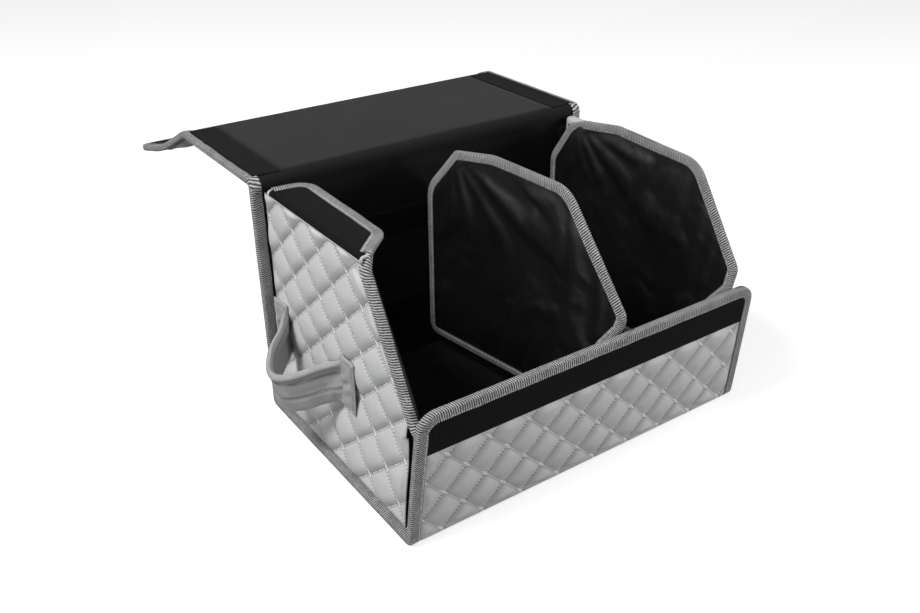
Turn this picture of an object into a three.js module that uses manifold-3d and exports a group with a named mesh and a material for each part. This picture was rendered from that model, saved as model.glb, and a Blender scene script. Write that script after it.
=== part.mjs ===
// Folding trunk organizer: a quilted strip forms front, base, back and lid, with inset side walls.
// Millimetres, +Z up. The origin is the centre of the underside. +Y is the hinge side.
import * as THREE from 'three';
import { mergeVertices } from 'three/addons/utils/BufferGeometryUtils.js';
import Module from 'manifold-3d';

const wasm = await Module();
wasm.setup();
const { Manifold, Mesh } = wasm;

// driving dimensions
const width = 500;
const depth = 335;
const backTop = 300;
const frontHeight = 173;
const frontLean = 16;
const lidDepth = 196;
const flapLength = 215;
const flapDroopDeg = 20.5;
const wallInset = 17;
const flangeWidth = 53;
const flangeRearY = 318;
const flangeFrontY = 116;
const gap = 0.3;
const seamThick = 2.2;
const puffThick = 4.8;
const baseThick = 3.7;
const boardThick = 2.4;
const liningThick = 1.0;
const legThick = 1.2;
const bindReach = 12;
const foldRadius = 6;
const stripCornerR = 18;
const tapeThick = 1.0;
const lidBarrelR = 6.2;
const flangeBarrelR = 3.5;
const hingeY = depth - 6.5;
const hingeZ = 306.5;
const quiltFrontU = 54;
const quiltFrontV = 52;
const quiltSideU = 62;
const quiltSideV = 59;
const strapHeight = 52;
const strapThick = 2.6;
const strapReach = 50;
const handleZ = 125;
const handleY = 222.5;
const tapeMargin = 40;
const dividerThick = 5;
const dividerClear = 2.9;
const dividerFoot = 40;
const dividerNoseY = -9;
const leftDividerOffset = 2;
const leftDividerTurn = 33;
const rightDividerInset = 48;
const rightDividerTurn = 9;
const dividerReach = 10;
const dividerLeg = 1.0;

// derived layers, measured from the inner face of the quilted cover
const boardIn = gap;
const liningIn = gap + boardThick + gap;
const wallInner = liningIn + liningThick;
const slotOut = seamThick + gap;
const slotIn = wallInner + gap;
const edgeInset = legThick + gap;
const lean = Math.atan(frontLean / frontHeight);
const baseZ = baseThick;
const footZ = baseZ + wallInner + gap;
const backRefY = depth - puffThick;
const backInnerY = backRefY - wallInner;
const frontRefY = (z) => puffThick - (z - 10) * Math.tan(lean);
const leftRefX = wallInset + puffThick;
const leftInnerX = leftRefX + wallInner;
const wallTopZ = hingeZ - 9.5 - flangeBarrelR - gap;
const flangeAxisX = leftInnerX + gap + flangeBarrelR;
const flangeAxisZ = hingeZ - 9.5;

const group = new THREE.Group();
group.name = 'trunk_organizer';

const looks = {
  leatherette: [0xd6d7d9, 0.55],
  binding: [0x8f9194, 0.9],
  loop: [0x121214, 1.0],
  lining: [0x1b1b1d, 0.8],
  board: [0x2e2e31, 0.85],
  fibre: [0x6b5b49, 0.9],
  satin: [0x151517, 0.45],
  strap: [0xcfd0d2, 0.5],
};

function add(name, geometry, look) {
  const [color, roughness] = looks[look];
  const g = geometry.index ? geometry.toNonIndexed() : geometry;
  for (const key of Object.keys(g.attributes)) {
    if (key !== 'position') {
      g.deleteAttribute(key);
    }
  }
  g.translate(-width / 2, -depth / 2, 0);
  g.computeVertexNormals();
  const material = new THREE.MeshStandardMaterial({ color, roughness, metalness: 0 });
  material.name = look;
  const mesh = new THREE.Mesh(g, material);
  mesh.name = name;
  group.add(mesh);
  return mesh;
}

function closed(vertices, triangles) {
  let volume = 0;
  const v = (i) => vertices[i];
  for (const [a, b, c] of triangles) {
    const A = v(a);
    const B = v(b);
    const C = v(c);
    volume += A[0] * (B[1] * C[2] - B[2] * C[1]);
    volume += A[1] * (B[2] * C[0] - B[0] * C[2]);
    volume += A[2] * (B[0] * C[1] - B[1] * C[0]);
  }
  const index = [];
  for (const [a, b, c] of triangles) {
    if (volume > 0) {
      index.push(a, b, c);
    } else {
      index.push(a, c, b);
    }
  }
  const g = new THREE.BufferGeometry();
  g.setAttribute('position', new THREE.Float32BufferAttribute(vertices.flat(), 3));
  g.setIndex(index);
  return g;
}

function toSolid(geometry) {
  let g = geometry.clone();
  for (const key of Object.keys(g.attributes)) {
    if (key !== 'position') {
      g.deleteAttribute(key);
    }
  }
  g = mergeVertices(g, 1e-4);
  const mesh = new Mesh({
    numProp: 3,
    vertProperties: new Float32Array(g.attributes.position.array),
    triVerts: new Uint32Array(g.index.array),
  });
  return Manifold.ofMesh(mesh);
}

function toGeometry(solid) {
  const mesh = solid.getMesh();
  const g = new THREE.BufferGeometry();
  g.setAttribute('position', new THREE.Float32BufferAttribute(Array.from(mesh.vertProperties), 3));
  g.setIndex(Array.from(mesh.triVerts));
  return g;
}

// moves every vertex of a closed geometry and restores its outward winding
function mapped(geometry, move) {
  const g = mergeVertices(new THREE.BufferGeometry().setAttribute(
    'position',
    geometry.attributes.position.clone(),
  ).setIndex(geometry.index), 1e-4);
  const p = g.attributes.position;
  const vertices = [];
  for (let i = 0; i < p.count; i += 1) {
    vertices.push(move(p.getX(i), p.getY(i), p.getZ(i)));
  }
  const triangles = [];
  for (let i = 0; i < g.index.count; i += 3) {
    triangles.push([g.index.getX(i), g.index.getX(i + 1), g.index.getX(i + 2)]);
  }
  return closed(vertices, triangles);
}

function box(x0, x1, y0, y1, z0, z1) {
  const g = new THREE.BoxGeometry(x1 - x0, y1 - y0, z1 - z0);
  g.translate((x0 + x1) / 2, (y0 + y1) / 2, (z0 + z1) / 2);
  return g;
}

// plate in the YZ plane between two x values
function plateX(points, x0, x1) {
  const shape = new THREE.Shape(points.map(([y, z]) => new THREE.Vector2(y, z)));
  const g = new THREE.ExtrudeGeometry(shape, { depth: x1 - x0, bevelEnabled: false });
  const m = new THREE.Matrix4().set(0, 0, 1, x0, 1, 0, 0, 0, 0, 1, 0, 0, 0, 0, 0, 1);
  g.applyMatrix4(m);
  return g;
}

// plate in the XY plane between two z values
function plateZ(points, z0, z1) {
  const shape = new THREE.Shape(points.map(([x, y]) => new THREE.Vector2(x, y)));
  const g = new THREE.ExtrudeGeometry(shape, { depth: z1 - z0, bevelEnabled: false });
  g.translate(0, 0, z0);
  return g;
}

// polygon with each corner rounded to its own radius: [a, b, radius]
function rounded(points, open = false, step = 12) {
  const out = [];
  const n = points.length;
  for (let i = 0; i < n; i += 1) {
    const [px, py, r = 0] = points[i];
    if (r <= 0 || (open && (i === 0 || i === n - 1))) {
      out.push([px, py]);
      continue;
    }
    const a = points[(i + n - 1) % n];
    const b = points[(i + 1) % n];
    const da = Math.hypot(a[0] - px, a[1] - py);
    const db = Math.hypot(b[0] - px, b[1] - py);
    const ua = [(a[0] - px) / da, (a[1] - py) / da];
    const ub = [(b[0] - px) / db, (b[1] - py) / db];
    const angle = Math.acos(ua[0] * ub[0] + ua[1] * ub[1]);
    const cut = r / Math.tan(angle / 2);
    const mid = [ua[0] + ub[0], ua[1] + ub[1]];
    const ml = Math.hypot(mid[0], mid[1]);
    const cd = r / Math.sin(angle / 2);
    const c = [px + (mid[0] / ml) * cd, py + (mid[1] / ml) * cd];
    const s = [px + ua[0] * cut, py + ua[1] * cut];
    const e = [px + ub[0] * cut, py + ub[1] * cut];
    const t0 = Math.atan2(s[1] - c[1], s[0] - c[0]);
    let dt = Math.atan2(e[1] - c[1], e[0] - c[0]) - t0;
    while (dt > Math.PI) {
      dt -= 2 * Math.PI;
    }
    while (dt < -Math.PI) {
      dt += 2 * Math.PI;
    }
    const k = Math.max(2, Math.round(Math.abs(dt) / (step * Math.PI / 180)));
    for (let j = 0; j <= k; j += 1) {
      const t = t0 + (dt * j) / k;
      out.push([c[0] + r * Math.cos(t), c[1] + r * Math.sin(t)]);
    }
  }
  return out;
}

// offset of a convex closed outline to its inside
function inset(points, d) {
  const n = points.length;
  let area = 0;
  for (let i = 0; i < n; i += 1) {
    const a = points[i];
    const b = points[(i + 1) % n];
    area += a[0] * b[1] - a[1] * b[0];
  }
  const side = area > 0 ? 1 : -1;
  return points.map((p, i) => {
    const a = points[(i + n - 1) % n];
    const b = points[(i + 1) % n];
    const na = inward(a, p, side);
    const nb = inward(p, b, side);
    const m = [na[0] + nb[0], na[1] + nb[1]];
    const scale = (2 * d) / (m[0] * m[0] + m[1] * m[1]);
    return [p[0] + m[0] * scale, p[1] + m[1] * scale];
  });
}

function inward(a, b, side) {
  const l = Math.hypot(b[0] - a[0], b[1] - a[1]);
  return [(-side * (b[1] - a[1])) / l, (side * (b[0] - a[0])) / l];
}

// profile in (inward, normal) carried along frames {p, a, b}
function sweep(profile, frames, loop = false) {
  const n = profile.length;
  const vertices = [];
  const triangles = [];
  for (const { p, a, b } of frames) {
    for (const [u, w] of profile) {
      vertices.push([0, 1, 2].map((k) => p[k] + a[k] * u + b[k] * w));
    }
  }
  const spans = loop ? frames.length : frames.length - 1;
  for (let i = 0; i < spans; i += 1) {
    const s = i * n;
    const e = ((i + 1) % frames.length) * n;
    for (let j = 0; j < n; j += 1) {
      const k = (j + 1) % n;
      triangles.push([s + j, s + k, e + k], [s + j, e + k, e + j]);
    }
  }
  if (!loop) {
    const shape = profile.map(([u, w]) => new THREE.Vector2(u, w));
    const last = (frames.length - 1) * n;
    const flip = THREE.ShapeUtils.isClockWise(shape);
    for (const [i, j, k] of THREE.ShapeUtils.triangulateShape(shape, [])) {
      const tri = flip ? [i, j, k] : [i, j, k];
      triangles.push([tri[2], tri[1], tri[0]]);
      triangles.push([last + tri[0], last + tri[1], last + tri[2]]);
    }
  }
  return closed(vertices, triangles);
}

function channel(out, inn, leg, reach) {
  return [
    [0, -out - leg], [reach, -out - leg], [reach, -out], [leg, -out],
    [leg, inn], [reach, inn], [reach, inn + leg], [0, inn + leg],
  ];
}

// frames along an outline in a plane; side is the turn that points inward
function outlineFrames(points, place, normal, side, loop = false) {
  const n = points.length;
  return points.map((p, i) => {
    const a = loop ? points[(i + n - 1) % n] : points[Math.max(0, i - 1)];
    const b = loop ? points[(i + 1) % n] : points[Math.min(n - 1, i + 1)];
    const na = i === 0 && !loop ? inward(p, b, side) : inward(a, p, side);
    const nb = i === n - 1 && !loop ? inward(a, p, side) : inward(p, b, side);
    const m = [na[0] + nb[0], na[1] + nb[1]];
    const scale = 2 / (m[0] * m[0] + m[1] * m[1]);
    const dir = [m[0] * scale, m[1] * scale];
    const o = place(0, 0);
    const q = place(dir[0], dir[1]);
    return { p: place(p[0], p[1]), a: [0, 1, 2].map((k) => q[k] - o[k]), b: normal };
  });
}

// puffed diamonds: seams where p or q is whole
function puff(u, v, q) {
  const du = (u - q.u0 - (v - q.v0) * (q.skew || 0)) / q.du;
  const dv = (v - q.v0) / q.dv;
  const f = Math.abs(Math.sin(Math.PI * (du + dv)) * Math.sin(Math.PI * (du - dv)));
  return Math.sqrt(f);
}

function ticks(lo, hi, origin, step, keep = 2.5) {
  const out = [lo];
  const first = Math.ceil((lo + keep - origin) / step);
  for (let k = first; origin + k * step < hi - keep; k += 1) {
    out.push(origin + k * step);
  }
  out.push(hi);
  return out;
}

// sheet whose inner face follows frame(s); columns run along x
function sheet(rows, columns, height, frame) {
  const nr = rows.length;
  const nc = columns.length;
  const vertices = [];
  const triangles = [];
  const top = (i, j) => i * nc + j;
  const low = (i, j) => nr * nc + i * 2 + j;
  const h = rows.map((s) => columns.map((x) => height(s, x)));
  rows.forEach((s, i) => {
    columns.forEach((x, j) => {
      vertices.push(frame(s, x, h[i][j]));
    });
  });
  rows.forEach((s) => {
    vertices.push(frame(s, columns[0], 0), frame(s, columns[nc - 1], 0));
  });
  for (let i = 0; i + 1 < nr; i += 1) {
    for (let j = 0; j + 1 < nc; j += 1) {
      const a = top(i, j);
      const b = top(i, j + 1);
      const c = top(i + 1, j + 1);
      const d = top(i + 1, j);
      const main = Math.abs(h[i][j] - h[i + 1][j + 1]) + 0.01 * (h[i][j] + h[i + 1][j + 1]);
      const other = Math.abs(h[i][j + 1] - h[i + 1][j]) + 0.01 * (h[i][j + 1] + h[i + 1][j]);
      if (main <= other) {
        triangles.push([a, b, c], [a, c, d]);
      } else {
        triangles.push([a, b, d], [b, c, d]);
      }
    }
    triangles.push([low(i, 0), low(i + 1, 0), low(i + 1, 1)], [low(i, 0), low(i + 1, 1), low(i, 1)]);
    triangles.push([top(i, 0), top(i + 1, 0), low(i + 1, 0)], [top(i, 0), low(i + 1, 0), low(i, 0)]);
    const e = nc - 1;
    triangles.push([top(i, e), low(i, 1), low(i + 1, 1)], [top(i, e), low(i + 1, 1), top(i + 1, e)]);
  }
  for (let j = 0; j + 1 < nc; j += 1) {
    triangles.push([low(0, 0), top(0, j + 1), top(0, j)]);
    triangles.push([low(nr - 1, 0), top(nr - 1, j), top(nr - 1, j + 1)]);
  }
  triangles.push([low(0, 0), low(0, 1), top(0, nc - 1)]);
  triangles.push([low(nr - 1, 0), top(nr - 1, nc - 1), low(nr - 1, 1)]);
  return closed(vertices, triangles);
}

// the strip: front wall, front fold, base, rear fold, back wall, as a path of its inner face
const fc = {
  y: puffThick + (foldRadius + 0.3 * Math.sin(lean)) / Math.cos(lean),
  z: baseZ + foldRadius,
};
const bc = { y: backRefY - foldRadius, z: baseZ + foldRadius };
const frontFoot = [fc.y - foldRadius * Math.cos(lean), fc.z - foldRadius * Math.sin(lean)];
const frontRun = (frontHeight - edgeInset - frontFoot[1]) / Math.cos(lean);
const frontArc = foldRadius * (Math.PI / 2 - lean);
const baseRun = bc.y - fc.y;
const backArc = (foldRadius * Math.PI) / 2;
const backRun = backTop - bc.z;
const s1 = frontRun;
const s2 = s1 + frontArc;
const s3 = s2 + baseRun;
const s4 = s3 + backArc;
const s5 = s4 + backRun;

function strip(s) {
  const up = [-Math.sin(lean), Math.cos(lean)];
  if (s <= s1) {
    const d = s1 - s;
    return { p: [frontFoot[0] + up[0] * d, frontFoot[1] + up[1] * d], n: [-up[1], up[0]] };
  }
  if (s <= s2) {
    const t = Math.PI + lean + (s - s1) / foldRadius;
    const n = [Math.cos(t), Math.sin(t)];
    return { p: [fc.y + foldRadius * n[0], fc.z + foldRadius * n[1]], n };
  }
  if (s <= s3) {
    return { p: [fc.y + s - s2, baseZ], n: [0, -1] };
  }
  if (s <= s4) {
    const t = -Math.PI / 2 + (s - s3) / foldRadius;
    const n = [Math.cos(t), Math.sin(t)];
    return { p: [bc.y + foldRadius * n[0], bc.z + foldRadius * n[1]], n };
  }
  return { p: [backRefY, bc.z + s - s4], n: [1, 0] };
}
const stripPoint = (s, x, h) => {
  const { p, n } = strip(s);
  return [x, p[0] + n[0] * h, p[1] + n[1] * h];
};

// one quilted cover for front, base and back, with rounded corners at the front rim
const loopTop = 15;
const loopBottom = 50;
const frontQuilt = { u0: 40, v0: frontRun - 110, du: quiltFrontU, dv: quiltFrontV };
const backQuilt = { u0: 40, v0: s4 + 30, du: quiltFrontU, dv: quiltFrontV };
const inner = edgeInset + bindReach;
function shellHeight(s, x) {
  const edge = Math.min(x - inner, width - inner - x);
  if (edge <= 0.01) {
    return seamThick;
  }
  if (s <= loopBottom + 0.6) {
    return seamThick;
  }
  const rise = puffThick - seamThick;
  if (s < s1 - 3) {
    return seamThick + rise * puff(x, s, frontQuilt) * Math.min(1, edge / 8);
  }
  if (s < s4 + 3) {
    return baseThick;
  }
  if (s > s5 - 8) {
    return seamThick;
  }
  return seamThick + rise * puff(x, s, backQuilt) * Math.min(1, edge / 8);
}
const shellRows = [0, loopBottom, loopBottom + 0.6];
for (const s of ticks(loopBottom + 0.6, s1 - 4, frontQuilt.v0, quiltFrontV / 4).slice(1)) {
  shellRows.push(s);
}
for (let k = 0; k <= 4; k += 1) {
  shellRows.push(s1 + (frontArc * k) / 4);
}
for (let k = 0; k <= 4; k += 1) {
  shellRows.push(s3 + (backArc * k) / 4);
}
for (const s of ticks(s4 + 4, s5 - 8, backQuilt.v0, quiltFrontV / 2)) {
  shellRows.push(s);
}
shellRows.push(s5);
const shellColumns = [edgeInset, inner];
for (const x of ticks(inner + 0.6, width - inner - 0.6, 40, quiltFrontU / 4)) {
  shellColumns.push(x);
}
shellColumns.push(width - inner, width - edgeInset);
let shell = toSolid(sheet(shellRows, shellColumns, shellHeight, stripPoint));

// cutter that rounds a rim corner: everything outside an arc, in the front wall's plane
function rimCorner(cx, sign, sTop, r, d0, d1) {
  const points = [[cx, 0], [cx + sign * (r + 20), 0], [cx + sign * (r + 20), -r - 20], [cx, -r - 20]];
  const arc = [];
  for (let k = 0; k <= 6; k += 1) {
    const t = (k / 6) * (Math.PI / 2);
    arc.push([cx + sign * r * Math.sin(t), -r * Math.cos(t)]);
  }
  const ring = [points[3], ...arc, points[1], points[2]];
  const shape = new THREE.Shape(ring.map(([x, up]) => new THREE.Vector2(x, up)));
  const g = new THREE.ExtrudeGeometry(shape, { depth: d1 - d0, bevelEnabled: false });
  return toSolid(mapped(g, (x, up, h) => stripPoint(sTop + r + up, x, d0 + h)));
}
const rimR = stripCornerR - edgeInset;
const rimCuts = [
  rimCorner(edgeInset + rimR, -1, 0, rimR, -12, 12),
  rimCorner(width - edgeInset - rimR, 1, 0, rimR, -12, 12),
];
for (const cut of rimCuts) {
  shell = shell.subtract(cut);
}
add('cover_shell', toGeometry(shell), 'leatherette');

// stiffener boards, one per panel
function stripPlate(sa, sb, x0, x1, d0, d1) {
  return sheet([sa, sb], [x0, x1], () => d1 - d0, (s, x, h) => stripPoint(s, x, -d0 - h));
}
let boardFront = toSolid(stripPlate(0, s1, edgeInset, width - edgeInset, boardIn, boardIn + boardThick));
for (const cut of rimCuts) {
  boardFront = boardFront.subtract(cut);
}
add('board_front', toGeometry(boardFront), 'fibre');
add('board_base', stripPlate(s2, s3, edgeInset, width - edgeInset, boardIn, boardIn + boardThick), 'fibre');
add('board_back', stripPlate(s4, s5, edgeInset, width - edgeInset, boardIn, boardIn + boardThick), 'fibre');

// black lining along the inside of front, base and back
const liningRows = [0, s1, s1 + frontArc / 3, s1 + (2 * frontArc) / 3, s2];
liningRows.push(s3, s3 + backArc / 3, s3 + (2 * backArc) / 3, s4, s5);
let lining = toSolid(sheet(
  liningRows,
  [edgeInset, width - edgeInset],
  () => liningThick,
  (s, x, h) => stripPoint(s, x, -liningIn - h),
));
for (const cut of rimCuts) {
  lining = lining.subtract(cut);
}
add('lining_shell', toGeometry(lining), 'lining');

// one webbing binding: up one side of the back, along the base, round the front rim and back again
const shellBind = channel(slotOut, slotIn, legThick, bindReach + legThick);
function shellFrames() {
  const half = [];
  const side = (s, x, dir) => {
    const { p, n } = strip(s);
    return { p: [x, p[0], p[1]], a: [dir, 0, 0], b: [0, -n[0], -n[1]] };
  };
  const rimS = stripCornerR - edgeInset;
  const downRows = [];
  downRows.push(rimS + 4, s1);
  for (let k = 1; k <= 4; k += 1) {
    downRows.push(s1 + (frontArc * k) / 4);
  }
  downRows.push(s3);
  for (let k = 1; k <= 4; k += 1) {
    downRows.push(s3 + (backArc * k) / 4);
  }
  downRows.push(s5);
  for (const s of [...downRows].reverse()) {
    half.push(side(s, 0, 1));
  }
  const { n } = strip(0);
  const arc = (cx, sign) => {
    const out = [];
    for (let k = 0; k <= 7; k += 1) {
      const t = (k / 7) * (Math.PI / 2);
      const dx = sign * Math.cos(t);
      const du = Math.sin(t);
      const { p } = strip(rimS - stripCornerR * du);
      const up = [-Math.sin(lean), Math.cos(lean)];
      out.push({
        p: [cx + dx * stripCornerR, p[0], p[1]],
        a: [-dx, -up[0] * du, -up[1] * du],
        b: [0, -n[0], -n[1]],
      });
    }
    return out;
  };
  half.push(...arc(stripCornerR, -1));
  half.push(...arc(width - stripCornerR, 1).reverse());
  for (const s of downRows) {
    half.push(side(s, width, -1));
  }
  return half;
}
add('binding_shell', sweep(shellBind, shellFrames()), 'binding');

// loop and hook tapes on the strip
const tape = (sa, sb, x0, x1, d0, d1) => sheet(
  [sa, sb], [x0, x1], () => d1 - d0, (s, x, h) => stripPoint(s, x, d0 + h),
);
const onCover = seamThick + gap;
add('loop_front', tape(loopTop, loopBottom - 1, 18, width - 18, onCover, onCover + tapeThick), 'loop');
const backTapeY = backInnerY - gap;
const backTape = (z0, z1) => box(tapeMargin, width - tapeMargin, backTapeY - tapeThick, backTapeY, z0, z1);
add('loop_back_upper', backTape(195, 230), 'loop');
add('loop_back_lower', backTape(60, 100), 'loop');
const insertTop = footZ + 3;
add('insert_board', box(leftInnerX + 1.4, width - leftInnerX - 1.4, 13, 323, footZ, insertTop), 'board');

// side walls
const cornerEnd = flangeFrontY + 6;
const cornerPath = rounded([[12, 132], [12, 152, 24], [98, wallTopZ, 34], [cornerEnd, wallTopZ]], true);
const wallCut = rounded([
  [12 + edgeInset, footZ],
  [12 + edgeInset, 152 - 0.4, 24 - edgeInset],
  [98 + 0.8, wallTopZ - edgeInset, 34 - edgeInset],
  [flangeFrontY + 6.3, wallTopZ - edgeInset],
  [flangeFrontY + 6.3, wallTopZ],
  [backInnerY - gap, wallTopZ],
  [backInnerY - gap, footZ + 3],
  [backInnerY - gap - 3, footZ],
]);
const sideQuilt = { u0: 115, v0: 179, du: quiltSideU, dv: quiltSideV, skew: -0.06 };

function bandBox(points, reach) {
  const frames = outlineFrames(points, (y, z) => [0, y, z], [1, 0, 0], -1);
  return sweep([[-1, -20], [reach, -20], [reach, 20], [-1, 20]], frames);
}
const bandCut = toSolid(bandBox(cornerPath, bindReach + legThick + gap));

function makeWall(name, right) {
  const mirror = (g) => (right ? mapped(g, (x, y, z) => [width - x, y, z]) : g);
  const y0 = 10;
  const y1 = backInnerY + 2;
  const z0 = footZ - 2;
  const z1 = wallTopZ + 2;
  const rise = puffThick - seamThick;
  const height = (z, y) => {
    const rim = Math.min(z - footZ, backInnerY - gap - y, y - 12);
    return seamThick + rise * puff(y, z, sideQuilt) * Math.max(0, Math.min(1, rim / 8));
  };
  const puffed = sheet(
    ticks(z0, z1, sideQuilt.v0, quiltSideV / 4, 1),
    ticks(y0, y1, sideQuilt.u0, quiltSideU / 4, 1),
    height,
    (z, y, h) => [leftRefX - h, y, z],
  );
  const outline = toSolid(plateX(wallCut, 0, 40));
  let cover = toSolid(puffed).intersect(outline);
  const rebate = bandCut.intersect(toSolid(box(-5, leftRefX - seamThick, -50, 400, -50, 400)));
  cover = cover.subtract(rebate);
  add(`cover_${name}`, mirror(toGeometry(cover)), 'leatherette');
  const boardX = leftRefX + boardIn;
  add(`board_${name}`, mirror(plateX(wallCut, boardX, boardX + boardThick)), 'fibre');
  const liningX = leftRefX + liningIn;
  add(`lining_${name}`, mirror(plateX(wallCut, liningX, liningX + liningThick)), 'lining');
  const frames = outlineFrames(cornerPath, (y, z) => [leftRefX, y, z], [1, 0, 0], -1);
  const bind = sweep(channel(slotOut, slotIn, legThick, bindReach + legThick), frames);
  add(`binding_${name}`, mirror(bind), 'binding');
  // gusset tapes that join the wall to the front and to the back
  const leg = 12;
  const t = 0.8;
  const low = insertTop + 0.5;
  const high = 128;
  const xi = leftInnerX + gap;
  const verts = [];
  for (const z of [low, high]) {
    const yf = frontRefY(z) + (wallInner + gap) / Math.cos(lean);
    verts.push([xi, yf, z], [xi + leg, yf, z], [xi + leg, yf + t, z]);
    verts.push([xi + t, yf + t, z], [xi + t, 26, z], [xi, 26, z]);
  }
  const tris = [[0, 3, 1], [1, 3, 2], [0, 4, 3], [0, 5, 4]];
  tris.push([6, 7, 9], [7, 8, 9], [6, 9, 10], [6, 10, 11]);
  for (let i = 0; i < 6; i += 1) {
    const j = (i + 1) % 6;
    tris.push([i, j, 6 + j], [i, 6 + j, 6 + i]);
  }
  add(`gusset_front_${name}`, mirror(closed(verts, tris)), 'lining');
  const rearEdge = backInnerY - gap;
  const rear = [
    [xi, rearEdge - leg], [xi + t, rearEdge - leg], [xi + t, rearEdge - t],
    [xi + leg, rearEdge - t], [xi + leg, rearEdge], [xi, rearEdge],
  ];
  add(`gusset_back_${name}`, mirror(plateZ(rear, low, wallTopZ - 6)), 'lining');
  // handle: a strap loop with both feet under stitched tabs
  const footX = wallInset - gap - strapThick / 2;
  const out = wallInset - strapReach;
  const route = [
    [footX, -89.5], [footX, -75.5], [footX, -62.5], [footX - 10, -50.5], [out + 16, -36.5], [out, -12.5],
  ];
  const mirrored = route.map(([x, y]) => [x, -y]).reverse();
  const path = new THREE.CatmullRomCurve3([
    ...[...route, ...mirrored].map(([x, y]) => new THREE.Vector3(x, handleY + y, 0)),
  ], false, 'centripetal');
  const frames2 = [];
  const count = 34;
  for (let i = 0; i <= count; i += 1) {
    const p = path.getPoint(i / count);
    const d = path.getTangent(i / count);
    frames2.push({ p: [Math.min(p.x, footX), p.y, handleZ], a: [0, 0, 1], b: [-d.y, d.x, 0] });
  }
  const hz = strapHeight / 2;
  const ht = strapThick / 2;
  const strap = sweep([[-hz, -ht], [hz, -ht], [hz, ht], [-hz, ht]], frames2);
  add(`strap_${name}`, mirror(strap), 'strap');
  const tabX1 = footX - strapThick / 2 - gap;
  const tabX0 = tabX1 - 2.6;
  const tabOutline = (y) => rounded([
    [y, handleZ - 32, 4], [y + 28, handleZ - 32, 4], [y + 28, handleZ + 32, 4], [y, handleZ + 32, 4],
  ]);
  add(`tab_front_${name}`, mirror(plateX(tabOutline(handleY - 94.5), tabX0, tabX1)), 'leatherette');
  add(`tab_rear_${name}`, mirror(plateX(tabOutline(handleY + 66.5), tabX0, tabX1)), 'leatherette');
}
makeWall('left', false);
makeWall('right', true);

// left flange: a soft flap folded inward over the box
const flangeThick = 3.5;
const flangeTopZ = flangeAxisZ + 1.5;
const flangeX0 = flangeAxisX + flangeBarrelR + gap;
const flangeX1 = wallInset + gap + flangeWidth;
const flangeSlant = 36 / 46;
const flangeOutline = rounded([
  [flangeX0, flangeFrontY + 36 - (flangeX1 - flangeX0) * flangeSlant],
  [flangeX1, flangeFrontY + 36, 16],
  [flangeX1, flangeRearY, 16],
  [flangeX0, flangeRearY],
], true);
const cylinderY = (r, x, z, y0, y1) => {
  const g = new THREE.CylinderGeometry(r, r, y1 - y0, 16);
  g.translate(x, (y0 + y1) / 2, z);
  return g;
};
const cylinderX = (r, y, z, x0, x1) => {
  const g = new THREE.CylinderGeometry(r, r, x1 - x0, 20);
  g.rotateZ(Math.PI / 2);
  g.translate((x0 + x1) / 2, y, z);
  return g;
};
const flangeFold = cylinderY(flangeBarrelR, flangeAxisX, flangeAxisZ, flangeFrontY + 8, flangeRearY);
add('flange_left_fold', flangeFold, 'leatherette');
// the flange's sewn root on top of the wall
const seamEdge = [[leftInnerX, wallTopZ + gap], [leftInnerX, flangeAxisZ + flangeBarrelR]];
for (let k = 0; k <= 6; k += 1) {
  const t = (0.5 + k / 12) * Math.PI;
  seamEdge.push([
    wallInset + flangeBarrelR + flangeBarrelR * Math.cos(t),
    flangeAxisZ + flangeBarrelR * Math.sin(t),
  ]);
}
seamEdge.push([wallInset, wallTopZ + gap]);
const seamShape = new THREE.Shape(seamEdge.map(([x, z]) => new THREE.Vector2(x, z)));
const seamLength = flangeRearY - flangeFrontY - 8;
const seamGeometry = new THREE.ExtrudeGeometry(seamShape, { depth: seamLength, bevelEnabled: false });
seamGeometry.rotateX(Math.PI / 2);
seamGeometry.translate(0, flangeRearY, 0);
add('wall_seam_left', seamGeometry, 'leatherette');
// cuts the first frame of a flange's outline square to the fold line
function squareStart(frames) {
  frames[0].a = [0, 1 / frames[0].a[1], 0];
  return frames;
}
function flangeArea(margin) {
  const clip = toSolid(plateZ(flangeOutline, -1, 1));
  const frames = squareStart(outlineFrames(flangeOutline, (x, y) => [x, y, 0], [0, 0, 1], 1));
  const band = toSolid(sweep([[-1, -5], [margin, -5], [margin, 5], [-1, 5]], frames));
  return clip.subtract(band);
}
function slab(solid, z0, z1) {
  const g = toGeometry(solid);
  const p = g.attributes.position;
  for (let i = 0; i < p.count; i += 1) {
    p.setZ(i, p.getZ(i) > 0 ? z1 : z0);
  }
  return g;
}
add('flange_left_panel', slab(flangeArea(edgeInset), flangeTopZ - flangeThick, flangeTopZ), 'leatherette');
const flangeBind = channel(flangeThick + gap, gap, legThick, 10 + legThick);
const flangeFrames = squareStart(outlineFrames(flangeOutline, (x, y) => [x, y, flangeTopZ], [0, 0, 1], 1));
add('flange_left_binding', sweep(flangeBind, flangeFrames), 'binding');
const flangeLoop = slab(flangeArea(10 + legThick + gap), flangeTopZ + gap, flangeTopZ + gap + legThick);
add('flange_left_loop', flangeLoop, 'loop');

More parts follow.
